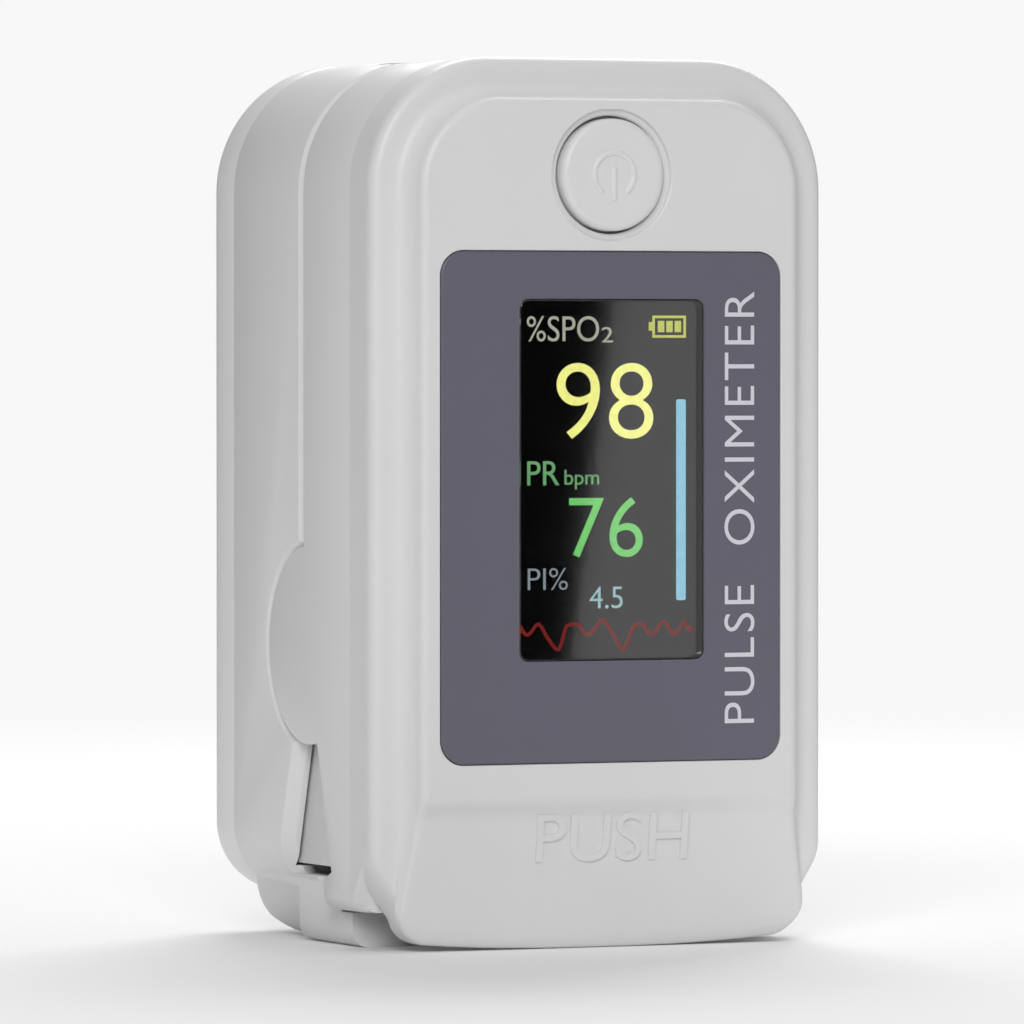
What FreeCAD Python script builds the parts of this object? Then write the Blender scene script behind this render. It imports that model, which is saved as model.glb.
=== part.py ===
import FreeCAD, Part
import math
import os

import Sketcher

# Fingertip pulse oximeter: a display half and a battery half that clip a finger between them.
# The part stands on its tail. X runs across its width, +Y from the display face to the back and +Z
# from the tail to the finger end. The origin is the middle of the box that it fills, at the bottom.

Vector = FreeCAD.Vector
document = FreeCAD.newDocument("PulseOximeter")

# Driving dimensions, in millimetres.
DRIVING = {
    # whole object
    "overall_width": 34.2,
    "overall_depth": 31.4,
    "overall_length": 61.0,
    "wall": 1.2,
    "top_radius": 9.0,
    "floor_thickness": 1.0,
    "side_gap": 0.2,
    # where the shells part, measured back from the display face or forward from the back
    "front_depth": 13.8,
    "cover_depth": 5.7,
    "back_depth": 5.2,
    "seam_gap": 0.15,
    "seam_chamfer": 0.5,
    # raised face of the display half and its thumb rest
    "plateau_height": 2.0,
    "plateau_inset": 2.8,
    "plateau_radius": 6.2,
    "front_wall": 1.5,
    "edge_fillet": 0.8,
    "lip_depth": 4.5,
    "lip_radius": 2.0,
    "push_top": 10.4,
    "push_step": 0.6,
    "push_step_rise": 1.1,
    "push_recess": 1.6,
    "front_tail_rise": 2.6,
    "front_tail_radius": 1.0,
    # printed panel, window and display
    "panel_width": 25.66,
    "panel_length": 34.9,
    "panel_rise": 12.8,
    "panel_radius": 1.7,
    "panel_thickness": 0.75,
    "panel_gap": 0.05,
    "window_width": 13.85,
    "window_length": 24.6,
    "window_rise": 19.8,
    "window_radius": 0.6,
    "display_width": 16.5,
    "display_length": 28.0,
    "display_thickness": 1.6,
    "display_gap": 0.2,
    "frame_border": 1.2,
    # power button and its switch
    "button_radius": 3.85,
    "button_rise": 52.95,
    "button_proud": 0.4,
    "button_gap": 0.2,
    "button_fillet": 0.35,
    "button_travel": 0.4,
    "seat_width": 0.6,
    "seat_depth": 0.3,
    "flange_width": 0.85,
    "flange_thickness": 0.45,
    "switch_side": 5.0,
    "switch_height": 0.85,
    "plunger_radius": 1.2,
    "plunger_gap": 0.1,
    # main board
    "board_width": 24.4,
    "board_length": 44.0,
    "board_rise": 13.0,
    "board_radius": 3.0,
    "board_thickness": 1.0,
    "board_gap": 0.1,
    "board_screw_inset": 1.4,
    "chip_height": 1.0,
    # screws
    "screw_radius": 0.7,
    "screw_head_radius": 1.3,
    "screw_head_height": 0.8,
    "screw_length": 3.0,
    "boss_radius": 1.6,
    # hinge
    "pivot_depth": 12.7,
    "pivot_rise": 20.66,
    "pin_radius": 1.0,
    "running_gap": 0.05,
    "pin_end_wall": 0.7,
    "ear_margin": 0.15,
    "ear_gap": 0.2,
    "ear_boss": 0.5,
    "ear_chamfer": 0.4,
    "lug_thickness": 1.6,
    "lug_radius": 2.8,
    "spring_wire_radius": 0.3,
    "spring_turns": 4.0,
    "spring_leg_rise": 10.0,
    # tapered gap that closes when the tail is squeezed, measured back from the display face
    "gap_top": 15.2,
    "gap_front_top": 11.6,
    "gap_front_foot": 8.8,
    "gap_rear_top": 14.3,
    "gap_rear_foot": 17.5,
    "gap_chamfer": 0.8,
    "toe_depth": 10.1,
    "toe_rise": 4.6,
    "web_overlap": 0.5,
    "web_gap": 0.75,
    "web_room": 7.5,
    "web_reach": 2.2,
    "tail_room": 1.0,
    # tail of the battery half
    "rear_tail_rise": 2.8,
    "rear_tail_radius": 5.0,
    "back_fillet": 2.6,
    "foot_front": 8.4,
    "foot_step": 10.3,
    "foot_rise": 2.4,
    "tab_rise": 4.65,
    "foot_front_radius": 1.2,
    "foot_rear_radius": 4.0,
    "foot_rear_setback": 0.8,
    "foot_slope": 1.4,
    # finger channel and its pads
    "pad_width": 23.0,
    "pad_base": 1.1,
    "pad_foot": 26.0,
    "pad_end_wall": 2.0,
    "pad_top_gap": 0.4,
    "channel_width": 17.0,
    "channel_upper": 5.7,
    "pad_shoulder": 1.5,
    "mouth_gap": 0.3,
    "sensor_rise": 39.5,
    "sensor_width": 5.0,
    "sensor_length": 6.0,
    "sensor_board_margin": 1.6,
    "sensor_board_thickness": 0.8,
    # batteries, their tray and sliding cover
    "cell_radius": 5.25,
    "cell_length": 44.5,
    "cell_spacing": 0.3,
    "cell_gap": 0.25,
    "nub_radius": 1.9,
    "nub_length": 1.0,
    "tray_wall": 1.0,
    "tray_rise": 4.3,
    "tray_depth": 6.7,
    "contact_thickness": 0.3,
    "spring_length": 2.8,
    "coil_radius": 2.3,
    "coil_wire_radius": 0.2,
    "coil_turns": 3.0,
    "door_width": 26.4,
    "door_rise": 8.7,
    "door_thickness": 1.2,
    "door_gap": 0.1,
    "ledge_thickness": 1.25,
    "tongue_width": 0.8,
    "tongue_thickness": 0.5,
    "door_opening_margin": 0.7,
    # flat lead across the hinge
    "ribbon_width": 4.0,
    "ribbon_thickness": 0.3,
    "ribbon_low": 11.0,
    "ribbon_slot_rise": 16.5,
    "ribbon_radius": 1.0,
    "lead_radius": 0.38,
}

sheet = document.addObject("Spreadsheet::Sheet", "Params")
for row, (alias, number) in enumerate(DRIVING.items(), start=1):
    sheet.set(f"A{row}", alias)
    sheet.set(f"B{row}", str(number))
    sheet.setAlias(f"B{row}", alias)
document.recompute()


class Size:
    """A length that carries both its number and the sheet formula it comes from."""

    def __init__(self, value, text):
        self.value = value
        self.text = text

    def __add__(self, other):
        other = as_size(other)
        return Size(self.value + other.value, f"({self.text} + {other.text})")

    def __sub__(self, other):
        other = as_size(other)
        return Size(self.value - other.value, f"({self.text} - {other.text})")

    def __mul__(self, factor):
        return Size(self.value * factor, f"({self.text} * {factor})")

    def __truediv__(self, factor):
        return Size(self.value / factor, f"({self.text} / {factor})")

    def __neg__(self):
        return Size(-self.value, f"(0 - {self.text})")


def as_size(number):
    """A plain number as a Size, or the Size itself."""
    if isinstance(number, Size):
        return number
    return Size(float(number), f"{float(number)}" if number >= 0 else f"(0 - {-float(number)})")


def driving(alias):
    """One cell of the sheet."""
    return Size(float(sheet.get(alias)), f"Params.{alias}")


# Planes and centres that pieces share.
zero = as_size(0)
wall = driving("wall")
floor_thickness = driving("floor_thickness")
side_gap = driving("side_gap")
half_width = driving("overall_width") / 2
inner_half = half_width - wall
top = driving("overall_length")
inner_top = top - wall
face = driving("button_proud") - driving("overall_depth") / 2
back = driving("overall_depth") / 2
seam = face + driving("front_depth")
front_parting = face + driving("cover_depth")
back_parting = back - driving("back_depth")
band = face + driving("plateau_height")
front_inside = face + driving("front_wall")
band_inside = band + wall
front_tail = driving("front_tail_rise")
rear_tail = driving("rear_tail_rise")

plateau_half = half_width - driving("plateau_inset")
plateau_top = top - driving("plateau_inset")
panel_floor = face + driving("panel_thickness") + driving("panel_gap")
display_front = panel_floor
display_rear = display_front + driving("display_thickness")
board_front = band_inside + driving("board_gap")
board_rear = board_front + driving("board_thickness")
board_top = driving("board_rise") + driving("board_length")

pivot_y = face + driving("pivot_depth")
pivot_z = driving("pivot_rise")
ear_radius = pivot_y - front_parting - driving("ear_margin")
ear_inner = inner_half - driving("ear_boss")
lug_outer = ear_inner - side_gap
lug_inner = lug_outer - driving("lug_thickness")
pin_end = half_width - driving("pin_end_wall")
web_outer = inner_half - side_gap
web_inner = web_outer - wall
web_low = driving("tab_rise") + driving("web_gap")

upper_floor_rear = seam - driving("channel_upper") - driving("pad_base")
upper_floor_front = upper_floor_rear - floor_thickness
cell_y = (back - driving("door_thickness") - driving("cell_gap") - driving("cell_radius")
          - driving("door_gap"))
cell_x = driving("cell_radius") + driving("cell_spacing") / 2
lower_floor_rear = cell_y - driving("cell_radius") - driving("cell_gap")
lower_floor_front = lower_floor_rear - floor_thickness
pad_top = top - driving("pad_top_gap")
pad_half = driving("pad_width") / 2
mouth_half = pad_half - driving("pad_shoulder")
boss_x = inner_half - driving("boss_radius") - 0.1

tray_half = cell_x + driving("cell_radius") + driving("cell_gap") + driving("tray_wall")
tray_low = driving("tray_rise")
contact_low = tray_low + driving("tray_wall")
cells_low = contact_low + driving("contact_thickness")
cells_high = cells_low + driving("spring_length") + driving("cell_length")
contact_high = cells_high + driving("contact_thickness")
tray_high = contact_high + driving("tray_wall")

BOTH_SIDES = (-1, 1)
Y_AXIS_DOWN_Z = FreeCAD.Rotation(Vector(1, 0, 0), -90)
X_AXIS = FreeCAD.Rotation(Vector(0, 1, 0), 90)
Z_AXIS = FreeCAD.Rotation()


# Small builders.
def bind(item, prop, size):
    """Ties a property to the sheet."""
    item.setExpression(prop, as_size(size).text)


def place(item, point, rotation=Z_AXIS):
    """Puts an item at a point whose three coordinates are tied to the sheet."""
    item.Placement = FreeCAD.Placement(Vector(*[as_size(c).value for c in point]), rotation)
    for letter, coordinate in zip("xyz", point):
        bind(item, f"Placement.Base.{letter}", coordinate)


def span(side, inner, outer):
    """The low and high ends in X of what lies between inner and outer on one side."""
    return (as_size(inner), as_size(outer)) if side > 0 else (-as_size(outer), -as_size(inner))


def new_body(label):
    body = document.addObject("PartDesign::Body", label)
    body.Label = label
    body.AllowCompound = True
    return body


def block(body, name, low, high, cut=False):
    """Adds or cuts a box between two corners."""
    kind = "SubtractiveBox" if cut else "AdditiveBox"
    item = body.newObject(f"PartDesign::{kind}", name)
    for prop, start, end in zip(("Length", "Width", "Height"), low, high):
        bind(item, prop, as_size(end) - start)
    place(item, low)
    return item


def rod(body, name, start, radius, length, rotation, cut=False):
    """Adds or cuts a cylinder that runs from start along the turned Z axis."""
    kind = "SubtractiveCylinder" if cut else "AdditiveCylinder"
    item = body.newObject(f"PartDesign::{kind}", name)
    bind(item, "Radius", radius)
    bind(item, "Height", length)
    place(item, start, rotation)
    return item


def corner_points(corners):
    """For each rounded corner its two tangent points, its centre and which way it turns."""
    found = []
    for index, (x, y, radius) in enumerate(corners):
        here = Vector(x.value, y.value, 0)
        before = Vector(corners[index - 1][0].value, corners[index - 1][1].value, 0) - here
        after_corner = corners[(index + 1) % len(corners)]
        after = Vector(after_corner[0].value, after_corner[1].value, 0) - here
        before.normalize()
        after.normalize()
        half = before.getAngle(after) / 2
        reach = radius.value / math.tan(half)
        turns_left = after.cross(before).z > 0
        bisector = before + after
        if radius.value > 0:
            bisector.normalize()
        centre = here + bisector * (radius.value / math.sin(half))
        found.append((here, here + before * reach, here + after * reach, centre, turns_left))
    return found


def draw_outline(sketch, corners):
    """Draws a closed outline of straight lines and tangent corner arcs, every size bound."""
    corners = [(as_size(x), as_size(y), as_size(radius)) for x, y, radius in corners]
    points = corner_points(corners)
    count = len(corners)
    lines = []
    for index in range(count):
        line = Part.LineSegment(points[index][2], points[(index + 1) % count][1])
        lines.append(sketch.addGeometry(line))
    for index, (x, y, radius) in enumerate(corners):
        here, start, end, centre, turns_left = points[index]
        line_in, line_out = lines[index - 1], lines[index]
        mark = sketch.addGeometry(Part.Point(here), True)
        if radius.value > 0:
            first, last = (start, end) if turns_left else (end, start)
            angle = [math.atan2(p.y - centre.y, p.x - centre.x) for p in (first, last)]
            circle = Part.Circle(centre, Vector(0, 0, 1), radius.value)
            arc = sketch.addGeometry(Part.ArcOfCircle(circle, angle[0], angle[1]))
            near, far = (1, 2) if turns_left else (2, 1)
            sketch.addConstraint(Sketcher.Constraint("Tangent", line_in, 2, arc, near))
            sketch.addConstraint(Sketcher.Constraint("Tangent", arc, far, line_out, 1))
            sketch.addConstraint(Sketcher.Constraint("PointOnObject", mark, 1, line_in))
            sketch.addConstraint(Sketcher.Constraint("PointOnObject", mark, 1, line_out))
            number = sketch.addConstraint(Sketcher.Constraint("Radius", arc, radius.value))
            sketch.setExpression(f"Constraints[{number}]", radius.text)
        else:
            sketch.addConstraint(Sketcher.Constraint("Coincident", line_in, 2, mark, 1))
            sketch.addConstraint(Sketcher.Constraint("Coincident", line_out, 1, mark, 1))
        for kind, size in (("DistanceX", x), ("DistanceY", y)):
            number = sketch.addConstraint(Sketcher.Constraint(kind, -1, 1, mark, 1, size.value))
            sketch.setExpression(f"Constraints[{number}]", size.text)


def origin_plane(body, role):
    return [item for item in body.Origin.OriginFeatures if item.Role == role][0]


def prism(body, name, plane, corners, start, end, cut=False):
    """Adds or cuts an outline drawn on an origin plane and carried from start to end.

    The XZ plane faces -Y, so its sketch lies at the end and the pad runs back to the start.
    """
    sketch = body.newObject("Sketcher::SketchObject", f"{name}_sketch")
    sketch.AttachmentSupport = [(origin_plane(body, plane), "")]
    sketch.MapMode = "FlatFace"
    offset = -as_size(end) if plane == "XZ_Plane" else as_size(start)
    sketch.AttachmentOffset = FreeCAD.Placement(Vector(0, 0, offset.value), FreeCAD.Rotation())
    bind(sketch, "AttachmentOffset.Base.z", offset)
    draw_outline(sketch, corners)
    item = body.newObject("PartDesign::Pocket" if cut else "PartDesign::Pad", name)
    item.Profile = sketch
    item.Reversed = cut
    bind(item, "Length", as_size(end) - start)
    return item


def shell_outline(half, low, high, high_radius, low_radius):
    """Rounded rectangle in X and Z, anticlockwise from its bottom left corner."""
    return [(-as_size(half), low, low_radius), (half, low, low_radius),
            (half, high, high_radius), (-as_size(half), high, high_radius)]


def soften(body, name, kind, size, chosen):
    """Fillets or chamfers the edges of the body's tip that the test picks."""
    document.recompute()
    tip = body.Tip
    edges = [f"Edge{i}" for i, edge in enumerate(tip.Shape.Edges, start=1) if chosen(edge.BoundBox)]
    item = body.newObject(f"PartDesign::{kind}", name)
    item.Base = (tip, edges)
    bind(item, "Radius" if kind == "Fillet" else "Size", size)
    return item


def at_depth(depth, tolerance=0.01):
    """Test for edges that lie wholly in one plane across Y."""
    return lambda box: abs(box.YMin - depth.value) < tolerance and abs(box.YMax - depth.value) < tolerance


# Display half.
def front_cover():
    """Front shell with the raised face, the recessed thumb rest and the tail lip."""
    body = new_body("front_cover")
    prism(body, "band", "XZ_Plane", shell_outline(half_width, front_tail, top, driving("top_radius"),
          driving("front_tail_radius")), band, front_parting)
    prism(body, "plateau", "XZ_Plane", shell_outline(plateau_half, zero, plateau_top,
          driving("plateau_radius"), driving("lip_radius")), face, face + driving("lip_depth"))
    push_foot = face + driving("push_recess")
    prism(body, "thumb_rest", "YZ_Plane", [
        (face - 1, driving("push_top"), 0), (face - 1, zero - 1, 0), (push_foot, zero - 1, 0),
        (face + driving("push_step"), driving("push_top") - driving("push_step_rise"), 0),
        (face, driving("push_top"), 0)], -half_width, half_width, cut=True)
    soften(body, "face_edges", "Fillet", driving("edge_fillet"), lambda box:
           (at_depth(band)(box) and box.ZMax > plateau_top.value + 1)
           or (at_depth(face)(box) and box.ZMax > driving("push_top").value + 1))
    inner_radius = driving("top_radius") - wall
    prism(body, "hollow", "XZ_Plane", shell_outline(inner_half, front_tail + wall, inner_top,
          inner_radius, 0.5), band_inside, front_parting, cut=True)
    plateau_inner = plateau_half - driving("front_wall")
    prism(body, "face_hollow", "XZ_Plane", shell_outline(plateau_inner, driving("push_top") + wall,
          plateau_top - driving("front_wall"), driving("plateau_radius") - driving("front_wall"), 0.5),
          front_inside, band_inside, cut=True)
    lip_inside = push_foot + wall
    block(body, "lip_hollow", (-plateau_half + wall, lip_inside, -1),
          (plateau_half - wall, face + driving("lip_depth") + 1, front_tail), cut=True)
    block(body, "tail_room", (-inner_half, front_parting - driving("tail_room"), zero),
          (inner_half, front_parting, front_tail + wall), cut=True)
    panel_half = driving("panel_width") / 2 + driving("panel_gap")
    panel_low = driving("panel_rise") - driving("panel_gap")
    panel_high = driving("panel_rise") + driving("panel_length") + driving("panel_gap")
    prism(body, "panel_recess", "XZ_Plane", shell_outline(panel_half, panel_low, panel_high,
          driving("panel_radius"), driving("panel_radius")), face - 1, panel_floor, cut=True)
    display_half = driving("display_width") / 2 + driving("display_gap")
    low, high = display_span()
    block(body, "display_opening", (-display_half, face, low - driving("display_gap")),
          (display_half, band_inside, high + driving("display_gap")), cut=True)
    rod(body, "button_seat", (0, face - 1, driving("button_rise")),
        driving("button_radius") + driving("button_gap") + driving("seat_width"),
        driving("seat_depth") + 1, Y_AXIS_DOWN_Z, cut=True)
    rod(body, "button_hole", (0, face - 1, driving("button_rise")),
        driving("button_radius") + driving("button_gap"), driving("front_wall") + 2, Y_AXIS_DOWN_Z,
        cut=True)
    rod(body, "flange_room", (0, front_inside - driving("running_gap") / 2, driving("button_rise")),
        driving("button_radius") + driving("flange_width") + driving("button_gap"),
        driving("flange_thickness") + driving("button_travel") + driving("button_gap"), Y_AXIS_DOWN_Z,
        cut=True)
    for number, (x, z) in enumerate(board_screw_places()):
        rod(body, f"board_boss_{number}", (x, front_inside - 0.2, z), driving("boss_radius"),
            board_front - front_inside + 0.2, Y_AXIS_DOWN_Z)
        rod(body, f"board_pilot_{number}", (x, board_front - 1.5, z), driving("screw_radius"), 1.5,
            Y_AXIS_DOWN_Z, cut=True)
    boss_end = upper_floor_front - 0.05
    for number, (x, z) in enumerate(case_screw_places()):
        rod(body, f"case_boss_{number}", (x, band_inside - 0.2, z), driving("boss_radius"),
            boss_end - band_inside + 0.2, Y_AXIS_DOWN_Z)
        pilot_start = band_inside - wall / 4
        rod(body, f"case_pilot_{number}", (x, pilot_start, z), driving("screw_radius"),
            boss_end - pilot_start, Y_AXIS_DOWN_Z, cut=True)
    return body


def display_span():
    """Low and high ends of the display, centred on the window."""
    middle = driving("window_rise") + driving("window_length") / 2
    return middle - driving("display_length") / 2, middle + driving("display_length") / 2


def board_screw_places():
    """Two at the foot of the board and two beside the button, clear of the display frame."""
    x = driving("board_width") / 2 - driving("board_screw_inset")
    low = driving("board_rise") + driving("board_screw_inset") + 0.6
    high = board_top - driving("board_screw_inset") - 4
    return [(x * side, z) for z in (low, high) for side in BOTH_SIDES]


def case_screw_places():
    """Screws that hold the two display shells together, beside the board."""
    low = front_tail + wall + driving("boss_radius") + 3
    high = top - driving("top_radius") - 5
    return [(boss_x * side, z) for z in (low, high) for side in BOTH_SIDES]


def upper_housing():
    """Rear shell of the display half: side walls, ears of the hinge and the floor under the pad."""
    body = new_body("upper_housing")
    prism(body, "shell", "XZ_Plane", shell_outline(half_width, front_tail, top, driving("top_radius"),
          driving("front_tail_radius")), front_parting, seam)
    inner = shell_outline(inner_half, front_tail - 1, inner_top, driving("top_radius") - wall, 0)
    prism(body, "jaw_hollow", "XZ_Plane", inner, upper_floor_rear, seam + 1, cut=True)
    prism(body, "front_hollow", "XZ_Plane", inner, front_parting - 1, upper_floor_front, cut=True)
    block(body, "floor_foot", (-inner_half, upper_floor_front, zero),
          (inner_half, upper_floor_rear, front_tail + wall), cut=True)
    toe = face + driving("toe_depth")
    gap_corners = [
        (face + driving("gap_front_top"), driving("gap_top"), 0),
        (face + driving("gap_front_foot"), driving("toe_rise") + 0.6, 0),
        (toe, driving("toe_rise"), 0), (toe, front_tail - 1, 0),
        (seam + 1, front_tail - 1, 0), (seam + 1, driving("gap_top"), 0)]
    prism(body, "tail_gap", "YZ_Plane", gap_corners, -half_width - 1, half_width + 1, cut=True)
    for side in BOTH_SIDES:
        name = "left" if side < 0 else "right"
        low, high = span(side, inner_half, half_width)
        rod(body, f"ear_{name}", (low, pivot_y, pivot_z), ear_radius, high - low, X_AXIS)
        low, high = span(side, ear_inner, inner_half)
        rod(body, f"ear_boss_{name}", (low, pivot_y, pivot_z), driving("lug_radius"), high - low, X_AXIS)
        low, high = span(side, ear_inner - 1, pin_end + driving("running_gap"))
        rod(body, f"ear_bore_{name}", (low, pivot_y, pivot_z), driving("pin_radius") + driving("running_gap"),
            high - low, X_AXIS, cut=True)
        low, high = span(side, web_inner, web_outer)
        rear_top = face + driving("gap_rear_top") + driving("web_overlap")
        rear_foot = face + driving("gap_rear_foot") + driving("web_overlap")
        prism(body, f"web_{name}", "YZ_Plane", [
            (upper_floor_front, web_low, 0), (rear_foot, web_low, 0), (rear_top, driving("gap_top"), 0),
            (upper_floor_front, driving("gap_top"), 0)], low, high)
        low, high = span(side, web_outer - 0.1, inner_half + 0.1)
        block(body, f"web_root_{name}", (low, upper_floor_front, web_low),
              (high, face + driving("gap_front_foot") - 0.3, driving("gap_top")))
    soften(body, "seam_edge", "Chamfer", driving("seam_chamfer") * 0.5, lambda box:
           at_depth(seam)(box) and box.ZMax > top.value - 0.5)
    mouth_cut(body, upper_floor_rear, seam + 1)
    sensor_hole(body, upper_floor_front - 0.5, upper_floor_rear + 0.5)
    half_ribbon = driving("ribbon_width") / 2 + 0.3
    block(body, "ribbon_slot", (-half_ribbon, upper_floor_front - 0.5, driving("ribbon_slot_rise") - 0.5),
          (half_ribbon, upper_floor_rear + 0.5, driving("ribbon_slot_rise") + 0.5), cut=True)
    for number, (x, z) in enumerate(case_screw_places()):
        rod(body, f"screw_hole_{number}", (x, upper_floor_front - 0.5, z), driving("screw_radius"),
            floor_thickness + 1, Y_AXIS_DOWN_Z, cut=True)
        rod(body, f"screw_seat_{number}", (x, upper_floor_rear - floor_thickness / 2, z),
            driving("screw_head_radius") + 0.1, floor_thickness, Y_AXIS_DOWN_Z, cut=True)
    return body


def upper_channel_radius():
    """Radius of the arc through the channel's two rims and its deepest line, above the seam."""
    return channel_radius(driving("channel_upper"))


def channel_radius(depth):
    """Radius of the arc of a channel: (half width squared + depth squared) over twice the depth."""
    half = driving("channel_width") / 2
    value = (half.value ** 2 + depth.value ** 2) / (2 * depth.value)
    return Size(value, f"(({half.text} * {half.text} + {depth.text} * {depth.text}) / (2 * {depth.text}))")


def upper_channel_centre():
    return seam - driving("channel_upper") + upper_channel_radius()


def lower_channel_depth():
    return lower_floor_front - driving("pad_base") - seam


def lower_channel_centre():
    return seam + lower_channel_depth() - channel_radius(lower_channel_depth())


def mouth_cut(body, low_y, high_y):
    """Opens the top wall between a floor and the seam, so that a finger can go in."""
    block(body, "mouth", (-mouth_half, low_y, inner_top - 1), (mouth_half, high_y, top + 1), cut=True)


def shoulder_top():
    """Height at which the side of a pad meets the inner corner arc, less a gap: centre height plus
    the root of (radius squared - offset squared)."""
    radius = driving("top_radius") - wall
    offset = pad_half - inner_half + radius
    rise = (radius.value ** 2 - offset.value ** 2) ** 0.5
    root = f"sqrt({radius.text} * {radius.text} - {offset.text} * {offset.text})"
    return inner_top - radius + Size(rise, root) - driving("running_gap") * 2


def sensor_hole(body, low_y, high_y):
    """Rectangular hole in a floor for the board of the light sensor or the emitter."""
    half = driving("sensor_width") / 2 + driving("sensor_board_margin") + 0.1
    reach = driving("sensor_length") / 2 + driving("sensor_board_margin") + 0.1
    rise = driving("sensor_rise")
    block(body, "sensor_hole", (-half, low_y, rise - reach), (half, high_y, rise + reach), cut=True)


def face_panel():
    """Printed panel over the front, with an opening for the window."""
    body = new_body("face_panel")
    high = driving("panel_rise") + driving("panel_length")
    rear = face + driving("panel_thickness")
    prism(body, "sheet", "XZ_Plane", shell_outline(driving("panel_width") / 2, driving("panel_rise"),
          high, driving("panel_radius"), driving("panel_radius")), face, rear)
    prism(body, "opening", "XZ_Plane", window_outline(driving("panel_gap")), face - 1, rear + 1, cut=True)
    return body


def window_outline(margin):
    half = driving("window_width") / 2 + margin
    low = driving("window_rise") - margin
    high = driving("window_rise") + driving("window_length") + margin
    return shell_outline(half, low, high, driving("window_radius"), driving("window_radius"))


def display_window():
    """Clear insert that fills the panel's opening, flush with its front."""
    body = new_body("display_window")
    prism(body, "lens", "XZ_Plane", window_outline(zero), face, face + driving("panel_thickness"))
    return body


def display_module():
    """Flat display, standing in the opening behind the window."""
    body = new_body("display_module")
    low, high = display_span()
    half = driving("display_width") / 2
    block(body, "glass", (-half, display_front, low), (half, display_rear, high))
    return body


def display_frame():
    """Moulded frame between the display and the main board."""
    body = new_body("display_frame")
    low, high = display_span()
    half = driving("display_width") / 2 - 0.4
    front = display_rear + 0.05
    rear = board_front - 0.05
    block(body, "frame", (-half, front, low + 0.4), (half, rear, high - 0.4))
    border = driving("frame_border")
    block(body, "opening", (-half + border, front - 1, low + border),
          (half - border, rear + 1, high - border), cut=True)
    return body


def main_board():
    """Circuit board, screwed to the bosses behind the front face."""
    body = new_body("main_board")
    prism(body, "laminate", "XZ_Plane", shell_outline(driving("board_width") / 2, driving("board_rise"),
          board_top, driving("board_radius"), driving("board_radius")), board_front, board_rear)
    for number, (x, z) in enumerate(board_screw_places()):
        rod(body, f"hole_{number}", (x, board_front - 1, z), driving("screw_radius") + 0.1,
            driving("board_thickness") + 2, Y_AXIS_DOWN_Z, cut=True)
    return body


def board_components():
    """Processor, amplifier, regulator, capacitors and the ribbon's socket on the board's back."""
    body = new_body("board_components")
    height = driving("chip_height")
    packages = [
        ("processor", 0, 29, 7, 7), ("amplifier", -6.5, 44, 5, 4), ("regulator", 7, 40, 3, 3),
        ("crystal", 7.5, 27, 2.5, 3.2), ("capacitor_a", -7.5, 30, 2, 1.2), ("capacitor_b", -7.5, 27, 2, 1.2),
        ("capacitor_c", 7, 34.5, 1.2, 2), ("inductor", -7, 36.5, 3, 3), ("driver", 0, 49.5, 4, 3)]
    for name, x, z, width, length in packages:
        block(body, name, (as_size(x - width / 2), board_rear, as_size(z - length / 2)),
              (as_size(x + width / 2), board_rear + height, as_size(z + length / 2)))
    half = driving("ribbon_width") / 2 + 1
    rise = driving("ribbon_slot_rise")
    block(body, "socket", (-half, board_rear, rise - 1.2), (half, board_rear + height * 0.6, rise + 1.2))
    return body


def screw_set(label, places, head_y, towards):
    """Pan head screws along Y at the given places; towards is -1 for shanks that point forward."""
    body = new_body(label)
    head = driving("screw_head_height")
    length = driving("screw_length")
    for number, (x, z) in enumerate(places):
        head_start = head_y if towards < 0 else head_y - head
        shank_start = head_y - length if towards < 0 else head_y
        rod(body, f"head_{number}", (x, head_start, z), driving("screw_head_radius"), head, Y_AXIS_DOWN_Z)
        rod(body, f"shank_{number}", (x, shank_start, z), driving("screw_radius"), length, Y_AXIS_DOWN_Z)
        recess_start = head_start + head * 0.5 if towards < 0 else head_start - 0.1
        rod(body, f"recess_{number}", (x, recess_start, z), driving("screw_head_radius") * 0.4,
            head * 0.5 + 0.1, Y_AXIS_DOWN_Z, cut=True)
    return body


def board_screws():
    """Short screws through the board into the front cover."""
    body = new_body("board_screws")
    for number, (x, z) in enumerate(board_screw_places()):
        rod(body, f"head_{number}", (x, board_rear, z), driving("screw_head_radius"), 0.7, Y_AXIS_DOWN_Z)
        rod(body, f"shank_{number}", (x, board_front - 1.3, z), driving("screw_radius"),
            driving("board_thickness") + 1.3, Y_AXIS_DOWN_Z)
        rod(body, f"recess_{number}", (x, board_rear + 0.35, z), driving("screw_head_radius") * 0.4, 1,
            Y_AXIS_DOWN_Z, cut=True)
    return body


def case_screws():
    """Screws that pull the upper housing against the front cover."""
    return screw_set("case_screws", case_screw_places(), upper_floor_rear - floor_thickness / 2, -1)


def tact_switch():
    """Switch body on the board, open at the front for its plunger."""
    body = new_body("tact_switch")
    half = driving("switch_side") / 2
    rise = driving("button_rise")
    front = board_front - driving("switch_height")
    block(body, "case", (-half, front, rise - half), (half, board_front, rise + half))
    depth = driving("plunger_gap") + driving("button_travel") + 0.05
    rod(body, "bore", (0, front - 0.1, rise), driving("plunger_radius") + 0.05, depth + 0.1, Y_AXIS_DOWN_Z,
        cut=True)
    return body


def switch_plunger():
    """Plunger that rides under the button; it dips into the switch by the button's travel."""
    body = new_body("switch_plunger")
    rear = board_front - driving("switch_height") + driving("plunger_gap")
    rod(body, "plunger", (0, flange_rear(), driving("button_rise")), driving("plunger_radius"),
        rear - flange_rear(), Y_AXIS_DOWN_Z)
    return body


def flange_rear():
    return front_inside + 0.05 + driving("flange_thickness")


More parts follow.
